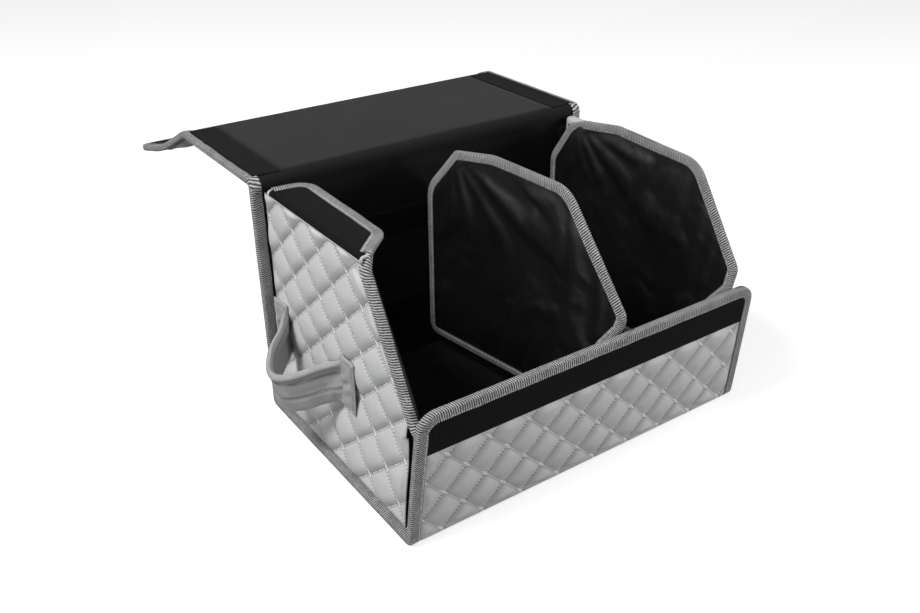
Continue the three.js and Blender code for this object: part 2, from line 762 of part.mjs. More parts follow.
// right flange: the same flap turned down inside the wall
const rx = width - wallInset - flangeBarrelR;
const hookR = flangeBarrelR;
const drop = flangeAxisZ - 46;
const panelX = width - leftInnerX - 3.2;
const jay = [];
for (let k = 0; k <= 6; k += 1) {
  const t = (k / 6) * Math.PI * 0.5;
  jay.push([rx + hookR * Math.cos(t), flangeAxisZ + hookR * Math.sin(t)]);
}
jay.push([panelX, flangeAxisZ + hookR], [panelX - flangeThick, flangeAxisZ + hookR - 3]);
jay.push([panelX - flangeThick, drop], [panelX, drop], [panelX, flangeAxisZ], [rx + hookR, flangeAxisZ]);
const jayShape = new THREE.Shape(jay.map(([x, z]) => new THREE.Vector2(x, z)));
const jayLength = flangeRearY - flangeFrontY - 8;
const jayGeometry = new THREE.ExtrudeGeometry(jayShape, { depth: jayLength, bevelEnabled: false });
jayGeometry.rotateX(Math.PI / 2);
jayGeometry.translate(0, flangeRearY, 0);
add('flange_right_panel', jayGeometry, 'leatherette');
const rb = channel(flangeThick + gap, gap, legThick, 10 + legThick);
const rbFrames = [flangeFrontY + 8, flangeRearY].map((y) => ({
  p: [panelX, y, drop - edgeInset], a: [0, 0, 1], b: [1, 0, 0],
}));
add('flange_right_binding', sweep(rb, rbFrames), 'binding');
const rightLoopX = panelX - flangeThick - gap;
const rightLoopY = [flangeFrontY + 12, flangeRearY - 6];
const rightLoop = box(rightLoopX - legThick, rightLoopX, ...rightLoopY, drop + 12, flangeAxisZ - 4);
add('flange_right_loop', rightLoop, 'loop');

// lid and flap panels, modelled flat in the lid's open plane
const lidStart = hingeY + lidBarrelR + gap;
const lidEnd = lidStart + lidDepth;
const flapAxisY = lidEnd + gap + lidBarrelR;
const flapStart = flapAxisY + lidBarrelR + gap;
const flapEnd = flapStart + flapLength;
const refZ = hingeZ + 0.3;
const lidQuilt = { u0: 40, v0: lidStart + 24, du: quiltFrontU, dv: quiltFrontV };
const flapR = stripCornerR + 8;

function quiltedPanel(y0, y1, quilt, farEdge) {
  const rise = puffThick - seamThick;
  const far = farEdge ? y1 - bindReach : y1;
  const height = (y, x) => {
    const edge = Math.min(x - inner, width - inner - x, y - y0 - 6, far - y - (farEdge ? 0 : 6));
    return seamThick + rise * puff(x, y, quilt) * Math.max(0, Math.min(1, edge / 8));
  };
  const rows = ticks(y0, y1, quilt.v0, quiltFrontV / 2);
  const columns = [edgeInset, inner];
  for (const x of ticks(inner + 0.6, width - inner - 0.6, 40, quiltFrontU / 2)) {
    columns.push(x);
  }
  columns.push(width - inner, width - edgeInset);
  return sheet(rows, columns, height, (y, x, h) => [x, y, refZ - h]);
}
const turnFlap = (g) => {
  g.translate(0, -flapAxisY, -hingeZ);
  g.rotateX((-flapDroopDeg * Math.PI) / 180);
  g.translate(0, flapAxisY, hingeZ);
  return g;
};
const layer = (y0, y1, x0, x1, d0, d1) => box(x0, x1, y0, y1, refZ + d0, refZ + d1);

add('lid_fold', cylinderX(lidBarrelR, hingeY, hingeZ, 2, width - 2), 'leatherette');
add('lid_cover', quiltedPanel(lidStart, lidEnd, lidQuilt, false), 'leatherette');
const lidX = [edgeInset, width - edgeInset];
add('lid_board', layer(lidStart, lidEnd, ...lidX, boardIn, boardIn + boardThick), 'fibre');
add('lid_lining', layer(lidStart, lidEnd, ...lidX, liningIn, wallInner), 'lining');
const topTape = [wallInner + gap, wallInner + gap + tapeThick];
add('lid_liner', layer(lidStart, lidEnd, 44.5, width - 44.5, topTape[0], topTape[1] + 0.2), 'board');
add('lid_hook_left', layer(lidStart, lidEnd, 14, 44, ...topTape), 'loop');
add('lid_hook_right', layer(lidStart, lidEnd, width - 44, width - 14, ...topTape), 'loop');
const lidBind = channel(slotOut, slotIn, legThick, bindReach + legThick);
for (const [name, x, dir] of [['left', 0, 1], ['right', width, -1]]) {
  const frames = [lidStart, lidEnd].map((y) => ({ p: [x, y, refZ], a: [dir, 0, 0], b: [0, 0, 1] }));
  add(`lid_binding_${name}`, sweep(lidBind, frames), 'binding');
}

add('flap_fold', turnFlap(cylinderX(lidBarrelR, flapAxisY, hingeZ, 2, width - 2)), 'leatherette');
const flapOutline = rounded([
  [0, flapStart], [0, flapEnd, flapR], [width, flapEnd, flapR], [width, flapStart],
], true, 15);
const flapInner = rounded([
  [edgeInset, flapStart], [edgeInset, flapEnd - edgeInset, flapR - edgeInset],
  [width - edgeInset, flapEnd - edgeInset, flapR - edgeInset], [width - edgeInset, flapStart],
], true, 15);
const flapPrism = (z0, z1) => plateZ(flapInner, z0, z1);
const flapQuilt = { u0: 40, v0: flapStart + 24, du: quiltFrontU, dv: quiltFrontV };
let flapCover = toSolid(quiltedPanel(flapStart, flapEnd, flapQuilt, true));
flapCover = flapCover.intersect(toSolid(flapPrism(refZ - 20, refZ + 20)));
const flapBandFrames = outlineFrames(flapOutline, (x, y) => [x, y, refZ], [0, 0, 1], -1);
const flapBand = sweep(
  [[-1, -20], [bindReach + legThick + gap, -20], [bindReach + legThick + gap, -seamThick], [-1, -seamThick]],
  flapBandFrames,
);
flapCover = flapCover.subtract(toSolid(flapBand));
add('flap_cover', turnFlap(toGeometry(flapCover)), 'leatherette');
add('flap_board', turnFlap(flapPrism(refZ + boardIn, refZ + boardIn + boardThick)), 'fibre');
add('flap_lining', turnFlap(flapPrism(refZ + liningIn, refZ + wallInner)), 'lining');
const flapHook = layer(flapEnd - 50, flapEnd - 14, 30, width - 30, ...topTape);
add('flap_hook', turnFlap(flapHook), 'loop');
add('flap_binding', turnFlap(sweep(lidBind, flapBandFrames)), 'binding');

// dividers: satin-covered boards with a binding all round, held by hook tape at the back
const crown = (y) => 300.0 + (hingeY - y) * 0.0611;
const dividerRearY = backInnerY - dividerClear;
const dividerPoints = [
  [dividerRearY, dividerFoot - 6, 16],
  [dividerRearY, 232, 40],
  [dividerRearY - 26.3, crown(dividerRearY - 26.3), 12],
  [dividerNoseY + 93, crown(dividerNoseY + 93) + 0.4, 22], [dividerNoseY, frontHeight + 20, 14],
  [dividerNoseY + 6, frontHeight - 0.5, 13], [dividerNoseY + 29, frontHeight - 35, 20],
  [dividerNoseY + 29, dividerFoot, 14],
];
const dividerOutline = rounded(dividerPoints, false, 15);
function makeDivider(name, xRear, xNose) {
  const yaw = Math.atan2(xNose - xRear, dividerRearY - dividerNoseY);
  const half = dividerThick / 2;
  const place = (g) => {
    g.translate(0, -dividerRearY, 0);
    g.rotateZ(yaw);
    g.translate(xRear, dividerRearY, 0);
    return g;
  };
  add(`divider_${name}_panel`, place(plateX(inset(dividerOutline, dividerLeg + gap), -half, half)), 'satin');
  const frames = outlineFrames(dividerOutline, (y, z) => [0, y, z], [1, 0, 0], 1, true);
  const profile = channel(half + gap, half + gap, dividerLeg, dividerReach + dividerLeg);
  add(`divider_${name}_binding`, place(sweep(profile, frames, true)), 'binding');
  const y1 = backInnerY - gap - tapeThick - gap - 0.35;
  add(`divider_${name}_hook`, place(box(-3.4, 3.4, dividerRearY + gap, y1, 62, 228)), 'loop');
}
const leftRear = width / 2 - leftDividerOffset;
makeDivider('left', leftRear, leftRear + leftDividerTurn);
makeDivider('right', width - rightDividerInset, width - rightDividerInset + rightDividerTurn);

export default group;
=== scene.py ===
"""Dressed model of a quilted folding trunk organizer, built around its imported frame."""

import math

import bpy
import numpy as np
from mathutils import Matrix, Vector


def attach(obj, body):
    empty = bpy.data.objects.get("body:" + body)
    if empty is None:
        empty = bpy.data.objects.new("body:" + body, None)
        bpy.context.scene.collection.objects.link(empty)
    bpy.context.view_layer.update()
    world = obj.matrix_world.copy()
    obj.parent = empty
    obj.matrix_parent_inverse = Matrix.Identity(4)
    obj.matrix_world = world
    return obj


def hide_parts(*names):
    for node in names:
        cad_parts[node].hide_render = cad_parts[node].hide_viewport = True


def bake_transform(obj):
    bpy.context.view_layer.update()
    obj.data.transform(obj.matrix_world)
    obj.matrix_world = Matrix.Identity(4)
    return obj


bl_info = {
    "name": "Trunk organizer",
    "version": (1, 0, 0),
    "blender": (4, 5, 0),
    "location": "View3D > Sidebar > Organizer",
    "description": "Quilted folding trunk organizer with lid, dividers and handles",
    "category": "Object",
}

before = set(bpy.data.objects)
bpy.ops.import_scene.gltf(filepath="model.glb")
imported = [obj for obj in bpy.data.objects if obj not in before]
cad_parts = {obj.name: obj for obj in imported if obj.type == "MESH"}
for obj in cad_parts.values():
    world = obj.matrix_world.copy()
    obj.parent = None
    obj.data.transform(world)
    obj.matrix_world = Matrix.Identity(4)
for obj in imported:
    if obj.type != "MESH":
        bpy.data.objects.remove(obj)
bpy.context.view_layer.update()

# Sizes in millimetres, from the front left bottom corner, as in the part's source.
WIDTH, DEPTH, BACK_TOP, FRONT_H, LEAN_MM = 500.0, 335.0, 300.0, 173.0, 16.0
SEAM, PUFF, BASE = 2.2, 4.8, 3.7
GAP, LEG, REACH = 0.3, 1.2, 12.0
WALL_IN = 4.0
EDGE = LEG + GAP
INNER = EDGE + REACH
FOLD_R = 6.0
HINGE_Z = 306.5
LID_START, LID_END = 335.0, 531.0
FLAP_AXIS = 537.5
FLAP_START, FLAP_END = 544.0, 759.0
FLAP_CORNER = 26.0
DROOP = math.radians(20.5)
REF_Z = HINGE_Z + 0.3
WALL_X = 17.0
REF_X = WALL_X + PUFF
INNER_X = REF_X + WALL_IN
BACK_REF = DEPTH - PUFF
BACK_IN = BACK_REF - WALL_IN
FOOT_Z = BASE + WALL_IN + GAP
WALL_TOP = 293.2
WALL_OUT = 3.0
RIM_R, PINCH = 24.0, 7.0
SEAM_DIP = 1.3
LOOP_INSET, LOOP_FOOT = 11.5, 50.0
FLANGE_F, FLANGE_R = 116.0, 318.0
FLANGE_FACE, FLANGE_ROLL, FLANGE_WALL_X = 299.4, 5.0, 15.0
LEAN = math.atan(LEAN_MM / FRONT_H)
STITCH_IN = 3.6
LEATHER_THICK, LINING_THICK, BOARD_THICK, TAPE_THICK = 1.3, 0.8, 2.3, 0.6
FRONT_Q = dict(u0=40.0, v0=None, du=54.0, dv=52.0, skew=0.0)
SIDE_Q = dict(u0=115.0, v0=179.0, du=62.0, dv=59.0, skew=-0.11)
SIDES = (("left", False), ("right", True))
FINISH = {}


def row(points):
    """Corner millimetres to row metres."""
    p = np.asarray(points, float)
    return (p - np.array([WIDTH / 2, DEPTH / 2, 0.0])) * 0.001


HEART = row([WIDTH / 2, DEPTH / 2, 120])
FOLD_FROM = row([23.0, 217.0, 297.0])
FOLD_TO = row([34.0, 217.0, 297.0])


def mirrored(points, right):
    """The points themselves, or their mirror images on the right side."""
    return points * [-1.0, 1, 1] + [WIDTH, 0, 0] if right else points


def ripple(a, b, seed, size):
    """Smooth seeded waves between -1 and 1 over two coordinates in mm."""
    rng = np.random.RandomState(seed)
    out = np.zeros(np.broadcast(a, b).shape)
    for k in range(6):
        angle = rng.uniform(0, math.tau)
        wave = size * rng.uniform(0.6, 1.6)
        phase = rng.uniform(0, math.tau)
        out += np.sin((a * math.cos(angle) + b * math.sin(angle)) * math.tau / wave + phase)
    return out / 6


def smooth(x, lo, hi):
    t = np.clip((x - lo) / (hi - lo), 0, 1)
    return t * t * (3 - 2 * t)


def edge_fade(*distances, over=7.0):
    """From 0 at the nearest of several edges to 1 at the distance over."""
    return smooth(np.minimum.reduce(np.broadcast_arrays(*distances)), 0.0, over)


def hill(x, width):
    return np.exp(-(x / width) ** 2)


def hermite(t, start, leave, end, arrive):
    """Point at t on the cubic from start to end, with its directions there."""
    rise = t * t * (3 - 2 * t)
    return (1 - rise) * start + (t ** 3 - 2 * t ** 2 + t) * leave + rise * end + (t ** 3 - t ** 2) * arrive


def spread(lo, hi, step):
    return np.linspace(lo, hi, max(2, int(round((hi - lo) / step)) + 1))


def stretches(*parts):
    """Sample positions over neighbouring stretches, each given as from, to and step."""
    runs = [spread(*part) for part in parts]
    return np.concatenate([run[:-1] for run in runs[:-1]] + runs[-1:])


# The strip's path: front wall, front fold, base, rear fold, back wall.
FC = (PUFF + (FOLD_R + 0.3 * math.sin(LEAN)) / math.cos(LEAN), BASE + FOLD_R)
BC = (BACK_REF - FOLD_R, BASE + FOLD_R)
FOOT = (FC[0] - FOLD_R * math.cos(LEAN), FC[1] - FOLD_R * math.sin(LEAN))
S1 = (FRONT_H - EDGE - FOOT[1]) / math.cos(LEAN)
S2 = S1 + FOLD_R * (math.pi / 2 - LEAN)
S3 = S2 + BC[0] - FC[0]
S4 = S3 + FOLD_R * math.pi / 2
S5 = S4 + BACK_TOP - BC[1]
FRONT_Q["v0"] = S1 - 103.3
BACK_Q = dict(FRONT_Q, v0=S4 + 30)


def strip(s):
    """The strip's y and z and its outward normal, s mm down from the front rim."""
    s = np.asarray(s, float)
    t1 = math.pi + LEAN + (s - S1) / FOLD_R
    t2 = -math.pi / 2 + (s - S3) / FOLD_R
    zero = np.zeros_like(s)
    lean_y, lean_z = math.sin(LEAN), math.cos(LEAN)
    front = (FOOT[0] - lean_y * (S1 - s), FOOT[1] + lean_z * (S1 - s), zero - lean_z, zero - lean_y)
    front_fold = (FC[0] + FOLD_R * np.cos(t1), FC[1] + FOLD_R * np.sin(t1), np.cos(t1), np.sin(t1))
    base = (FC[0] + s - S2, BASE + zero, zero, zero - 1)
    rear_fold = (BC[0] + FOLD_R * np.cos(t2), BC[1] + FOLD_R * np.sin(t2), np.cos(t2), np.sin(t2))
    back = (BACK_REF + zero, BC[1] + s - S4, zero + 1, zero)
    pick = [s <= S1, s <= S2, s <= S3, s <= S4]
    return [np.select(pick, group[:4], group[4]) for group in zip(front, front_fold, base, rear_fold, back)]


def strip_rows(front, fold, base, back, start=0.0):
    """Sample positions down the strip, with a step for each kind of stretch."""
    return stretches((start, S1, front), (S1, S2, fold), (S2, S3, base), (S3, S4, fold), (S4, S5, back))


def pinch(s):
    """How far the front wall's ends draw in towards its rim."""
    return PINCH * np.clip(1 - np.maximum(s, RIM_R) / S1, 0, 1) ** 1.2


def corner_cut(past, radius):
    """How far a round corner draws the edge in, past mm beyond the corner's start."""
    into = np.clip(past, 0, radius)
    return radius - np.sqrt(np.maximum(radius ** 2 - into ** 2, 0))


def strip_x(u, s, inset=EDGE, past=RIM_R - EDGE, radius=RIM_R - EDGE):
    """The x at u from 0 to 1 across the strip, between its pinched and rounded edges."""
    margin = inset + corner_cut(past - s, radius) + pinch(s)
    return margin + u * (WIDTH - 2 * margin)


def on_strip(s, x, h):
    y, z, ny, nz = strip(s)
    return np.stack([x, y + ny * h, z + nz * h], -1)


def bulge(z):
    """How far a side wall's cover stands out, most at its foot."""
    return WALL_OUT + 8.5 * (1 - smooth(z, 8, 120))


def lattice(u, v, q):
    a = (u - q["u0"] - (v - q["v0"]) * q["skew"]) / q["du"]
    b = (v - q["v0"]) / q["dv"]
    return a + b, a - b


def quilt(u, v, q, seed=1):
    """Height from 0 at the seams to about 1 at the middle of each puffed diamond."""
    p, r = lattice(u, v, q)
    f = np.abs(np.sin(np.pi * p) * np.sin(np.pi * r))
    cell = np.sin(np.floor(p) * 12.9898 + np.floor(r) * 78.233 + seed) * 43758.5453
    cell = cell - np.floor(cell)
    lean = (np.mod(p, 1) - 0.5) * (cell - 0.5) * 0.35
    pillow = f ** 0.55 * (0.84 + 0.2 * cell + lean)
    return pillow + 0.05 * ripple(u, v, seed, 17) * pillow


def rounded(points, open_path=False, step=9):
    """A path's points with arcs in place of the corners that name a radius."""
    out = []
    n = len(points)
    for i, corner in enumerate(points):
        p = np.array(corner[:2], float)
        r = corner[2] if len(corner) > 2 else 0
        if r <= 0 or (open_path and i in (0, n - 1)):
            out.append(tuple(p))
            continue
        va = np.array(points[i - 1][:2]) - p
        vb = np.array(points[(i + 1) % n][:2]) - p
        va, vb = va / np.hypot(*va), vb / np.hypot(*vb)
        angle = math.acos(float(np.clip(va @ vb, -1, 1)))
        cut = r / math.tan(angle / 2)
        c = p + (va + vb) / np.hypot(*(va + vb)) * r / math.sin(angle / 2)
        s, e = p + va * cut - c, p + vb * cut - c
        t0 = math.atan2(s[1], s[0])
        dt = (math.atan2(e[1], e[0]) - t0 + math.pi) % math.tau - math.pi
        k = max(2, round(abs(dt) / math.radians(step)))
        turns = [t0 + dt * j / k for j in range(k + 1)]
        out += [(c[0] + r * math.cos(t), c[1] + r * math.sin(t)) for t in turns]
    return np.array(out)


def dense(points, step=4.0, loop=False):
    """A path's points with more between them, at most about a step apart."""
    pts = [np.asarray(p, float) for p in points]
    if loop:
        pts.append(pts[0])
    out = [pts[0]]
    for a, b in zip(pts, pts[1:]):
        length = np.linalg.norm(b - a)
        if length < 1e-6:
            continue
        k = max(1, int(length / step))
        out += [a + (b - a) * j / k for j in range(1, k + 1)]
    return np.array(out)


def edge_at(path, height):
    """An outline's first coordinate where its second one has the given value."""
    path = path[np.argsort(path[:, 1], kind="stable")]
    keep = np.concatenate([[True], np.diff(path[:, 1]) > 1e-6])
    return np.interp(height, path[keep, 1], path[keep, 0])


def along(path, u):
    """Both coordinates of a path at u from 0 to 1, counted by its points."""
    k = np.linspace(0, 1, len(path))
    return np.interp(u, k, path[:, 0]), np.interp(u, k, path[:, 1])


def path_length(points):
    return np.concatenate([[0], np.cumsum(np.linalg.norm(np.diff(points, axis=0), axis=1))])


def outline_frames(points, place, normal, side, loop=False, step=4.0):
    """Positions, inward directions and normals along a planar outline."""
    p = dense(points, step, loop)
    if loop:
        back, ahead = np.roll(p[:-1], 1, 0), np.roll(p[:-1], -1, 0)
        back, ahead = np.vstack([back, back[:1]]), np.vstack([ahead, ahead[:1]])
    else:
        back, ahead = np.vstack([p[:1], p[:-1]]), np.vstack([p[1:], p[-1:]])
    t = ahead - back
    t /= np.linalg.norm(t, axis=1)[:, None]
    inward = np.stack([-side * t[:, 1], side * t[:, 0]], -1)
    origin = np.array(place(0.0, 0.0))
    pos = np.array([place(a, b) for a, b in p])
    dirs = np.array([np.array(place(a, b)) - origin for a, b in inward])
    return pos, dirs, np.tile(np.array(normal, float), (len(p), 1))


def edge_frames(x, y, z, inward, normal):
    """Positions, inward directions and normals along an edge given by its coordinates."""
    pos = np.stack(np.broadcast_arrays(x, y, z), -1).astype(float)
    return pos, *(np.broadcast_to(np.array(d, float), pos.shape) for d in (inward, normal))


# Modelling
def clear():
    if bpy.context.object and bpy.context.object.mode != "OBJECT":
        bpy.ops.object.mode_set(mode="OBJECT")
    bpy.ops.object.select_all(action="DESELECT")


def only(obj):
    clear()
    obj.select_set(True)
    bpy.context.view_layer.objects.active = obj


def apply_modifier(obj, kind, **settings):
    only(obj)
    bpy.ops.object.modifier_add(type=kind)
    modifier = obj.modifiers[-1]
    for key, value in settings.items():
        setattr(modifier, key, value)
    bpy.ops.object.modifier_apply(modifier=modifier.name)


def edit(obj, *steps):
    """Runs mesh operators on the whole mesh in edit mode."""
    only(obj)
    bpy.ops.object.mode_set(mode="EDIT")
    bpy.ops.mesh.select_all(action="SELECT")
    for step in steps:
        step()
    bpy.ops.object.mode_set(mode="OBJECT")


def read(items, key):
    """One vector of every vertex or polygon, as rows of an array."""
    values = np.empty(len(items) * 3)
    items.foreach_get(key, values)
    return values.reshape(-1, 3)


def cloth(name, us, vs, surface, pattern=None, outward=None, thick=0.0, weld=False):
    """A primitive grid laid onto a surface: columns us, rows vs, with its own pattern map."""
    clear()
    us, vs = np.asarray(us, float), np.asarray(vs, float)
    nu, nv = len(us) - 1, len(vs) - 1
    bpy.ops.mesh.primitive_grid_add(x_subdivisions=nu, y_subdivisions=nv, size=2, location=(0, 0, 0))
    obj = bpy.context.object
    obj.name = name
    mesh = obj.data
    mesh.name = name
    co = read(mesh.vertices, "co")
    u = us[np.rint((co[:, 0] + 1) / 2 * nu).astype(int)]
    v = vs[np.rint((co[:, 1] + 1) / 2 * nv).astype(int)]
    mesh.vertices.foreach_set("co", row(surface(u, v)).ravel())
    mesh.update()
    while mesh.uv_layers:
        mesh.uv_layers.remove(mesh.uv_layers[0])
    layer = mesh.uv_layers.new(name="Pattern")
    a, b = pattern(u, v) if pattern else (u, v)
    loops = np.empty(len(mesh.loops), int)
    mesh.loops.foreach_get("vertex_index", loops)
    layer.data.foreach_set("uv", np.stack([a[loops], b[loops]], -1).ravel())
    if outward is not None:
        centres = read(mesh.polygons, "center")
        away = outward(centres) if callable(outward) else np.array(outward, float)
        if float((read(mesh.polygons, "normal") * away).sum()) < 0:
            edit(obj, bpy.ops.mesh.flip_normals)
    if weld:
        edit(obj, lambda: bpy.ops.mesh.remove_doubles(threshold=0.00002))
    if thick:
        apply_modifier(
            obj, "SOLIDIFY", thickness=thick * 0.001, offset=-1.0, use_even_offset=False, use_rim=True,
        )
    only(obj)
    bpy.ops.object.shade_smooth()
    return obj


def dress(obj, body, finish, replaced=()):
    obj.data.materials.clear()
    obj.data.materials.append(FINISH[finish])
    if replaced:
        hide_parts(*replaced)
    if body:
        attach(obj, body)
    return obj


def sheet(name, us, vs, surface, outward, thick, body, finish, replaced=(), pattern=None):
    """A piece of cloth, board or tape, laid out and dressed."""
    obj = cloth(name, us, vs, surface, pattern, outward, thick)
    return dress(obj, body, finish, replaced)


def tape(name, frames, profile, thick, wave, seed, loop, inside):
    """Webbing: a profile in (inward, normal) carried along frames."""
    pos, a, b = frames
    profile = np.array(profile, float)
    run, across = path_length(pos), path_length(profile)

    def surface(u, v):
        iu, iv = u.astype(int), v.astype(int)
        s, c = run[iv], profile[iu]
        if loop:
            phase = s / run[-1] * math.tau
            w = (np.sin(phase * 5 + seed) + np.sin(phase * 11 + 2 * seed)) / 2
        else:
            w = ripple(s, c[:, 0] * 3, seed, 45)
        away = c[:, 1] / (np.abs(profile[:, 1]).max() + 1e-9)
        pa = c[:, 0] + wave * 0.7 * w
        pb = c[:, 1] + wave * w * away
        return pos[iv] + a[iv] * pa[:, None] + b[iv] * pb[:, None]

    heart = row(pos + a * inside[0] + b * inside[1])[::3]

    def away(centres):
        out = np.empty_like(centres)
        for k in range(0, len(centres), 4000):
            block = centres[k:k + 4000]
            near = ((block[:, None, :] - heart[None]) ** 2).sum(2).argmin(1)
            out[k:k + 4000] = block - heart[near]
        return out

    columns, rows = np.arange(len(profile)), np.arange(len(pos))

    def pattern(u, v):
        return run[v.astype(int)], across[u.astype(int)]

    return cloth(name, columns, rows, surface, pattern, away, thick, loop)


def channel(out, inn, reach, leg=LEG):
    """Open path round a folded binding, from one leg's edge over the web to the other's."""
    o, i = out + leg, inn + leg
    return [
        (reach + leg, -o + 0.55), (reach + leg - 0.7, -o + 0.05), (reach * 0.75, -o),
        (reach * 0.45, -o - 0.05), (2.6, -o), (1.3, -o + 0.35), (0.45, -o + 1.1), (0.05, -o + 2.2),
        (0.0, (i - o) / 2), (0.05, i - 2.2), (0.45, i - 1.1), (1.3, i - 0.35), (2.6, i),
        (reach * 0.45, i + 0.05), (reach * 0.75, i), (reach + leg - 0.7, i - 0.05), (reach + leg, i - 0.55),
    ]


OVER_EDGE = channel(SEAM + GAP, WALL_IN + GAP, REACH)


def binding(
    name, frames, body, replaced, seed, wave=None, profile=OVER_EDGE, thick=1.0, inside=(6, 1), loop=False,
):
    """Webbing folded over an edge, by default over cover, board and lining together."""
    wave = sizes().wave * 1000 if wave is None else wave
    obj = tape(name, frames, profile, thick, wave, seed, loop, inside)
    return dress(obj, body, "webbing", replaced)


def settle(obj, held, anchor, normal, lowest, highest):
    """Cloth simulation of a sheet cut a little too large for its frame: it buckles into soft folds.

    held marks the points sewn under the binding; the offset along normal stays between the limits.
    """
    frames = 20
    only(obj)
    group = obj.vertex_groups.new(name="held")
    group.add([int(i) for i in np.flatnonzero(held)], 1.0, "ADD")
    bpy.ops.object.modifier_add(type="CLOTH")
    modifier = obj.modifiers[-1]
    satin = modifier.settings
    satin.vertex_group_mass = "held"
    satin.quality = 6
    satin.mass = 0.12
    satin.tension_stiffness = 12
    satin.compression_stiffness = 12
    satin.shear_stiffness = 6
    satin.bending_stiffness = 0.3
    satin.shrink_min = -0.011
    satin.effector_weights.gravity = 0.0
    modifier.point_cache.frame_end = frames
    scene = bpy.context.scene
    for step in range(1, frames + 1):
        scene.frame_set(step)
    bpy.ops.object.modifier_apply(modifier=modifier.name)
    scene.frame_set(1)
    co = read(obj.data.vertices, "co")
    offset = (co - anchor) @ normal * 1000
    co += ((np.clip(offset, lowest, highest) - offset) * 0.001)[:, None] * normal
    obj.data.vertices.foreach_set("co", co.ravel())
    obj.data.update()
    obj.vertex_groups.clear()


# Materials
class Shader:
    """Short names for the nodes of one material."""

    def __init__(self, name):
        self.material = bpy.data.materials.new(name)
        self.material.use_nodes = True
        self.tree = self.material.node_tree
        self.bsdf = self.tree.nodes["Principled BSDF"]

    def node(self, kind, inputs=None, **settings):
        n = self.tree.nodes.new(kind)
        for key, value in settings.items():
            setattr(n, key, value)
        for key, value in (inputs or {}).items():
            self.put(n.inputs[key], value)
        return n

    def put(self, socket, value):
        if isinstance(value, bpy.types.NodeSocket):
            self.tree.links.new(value, socket)
        elif hasattr(socket.default_value, "__len__") and len(socket.default_value) == 4 and len(value) == 3:
            socket.default_value = (*value, 1)
        else:
            socket.default_value = value

    def math(self, op, a, b=0.0):
        return self.node("ShaderNodeMath", {0: a, 1: b}, operation=op).outputs[0]

    def times(self, a, b):
        return self.math("MULTIPLY", a, b)

    def plus(self, a, b):
        return self.math("ADD", a, b)

    def off(self, value, middle):
        """Distance of a value from its middle."""
        return self.math("ABSOLUTE", self.math("SUBTRACT", value, middle))

    def wave(self, value, pitch):
        return self.math("SINE", self.times(value, math.tau / pitch))

    def ramp(self, value, lo, hi, out_lo=0.0, out_hi=1.0):
        levels = {"Value": value, "From Min": lo, "From Max": hi, "To Min": out_lo, "To Max": out_hi}
        return self.node("ShaderNodeMapRange", levels, interpolation_type="SMOOTHSTEP").outputs[0]

    def near(self, value, lo, hi):
        """From 1 below lo to 0 above hi."""
        return self.ramp(value, lo, hi, 1.0, 0.0)

    def dashes(self, line, along, pitch, lo, hi):
        """Stitches: a line's mask broken once in each pitch."""
        beat = self.off(self.math("FRACT", self.math("DIVIDE", along, pitch)), 0.5)
        return self.times(line, self.near(beat, lo, hi))

    def mix(self, factor, a, b):
        return self.node("ShaderNodeMix", {0: factor, 6: a, 7: b}, data_type="RGBA").outputs[2]

    def pattern(self):
        uv = self.node("ShaderNodeUVMap", uv_map="Pattern").outputs[0]
        xyz = self.node("ShaderNodeSeparateXYZ", {0: uv})
        return xyz.outputs[0], xyz.outputs[1]

    def place(self):
        return self.node("ShaderNodeTexCoord").outputs["Object"]

    def noise(self, scale, detail=2.0, rough=0.5):
        inputs = {"Vector": self.place(), "Scale": scale, "Detail": detail, "Roughness": rough}
        return self.node("ShaderNodeTexNoise", inputs).outputs[0]

    def bump(self, height, distance, strength, under=None):
        inputs = {"Height": height, "Distance": distance, "Strength": strength}
        if under:
            inputs["Normal"] = under
        return self.node("ShaderNodeBump", inputs).outputs[0]

    def grain(self):
        """The fine cells of synthetic leather."""
        cells = {"Vector": self.place(), "Scale": 1150.0}
        edges = self.node("ShaderNodeTexVoronoi", cells, feature="DISTANCE_TO_EDGE").outputs[0]
        return self.bump(self.ramp(edges, 0.0, 0.25), 0.00012, 0.5)

    def finish(self, color, roughness, normal=None, specular=0.4, sheen=0.0, sheen_rough=0.5):
        values = {"Base Color": color, "Roughness": roughness, "Specular IOR Level": specular}
        values.update({"Sheen Weight": sheen, "Sheen Roughness": sheen_rough, "Sheen Tint": (1, 1, 1)})
        if normal:
            values["Normal"] = normal
        for key, value in values.items():
            self.put(self.bsdf.inputs[key], value)
        return self.material


def scaled(color, *factors):
    """A colour made darker or lighter, by one factor or by one for each channel."""
    factors = factors if len(factors) == 3 else factors * 3
    return tuple(c * f for c, f in zip(color, factors))


STITCH, STITCH_PITCH = (0.35, 0.75), 3.8


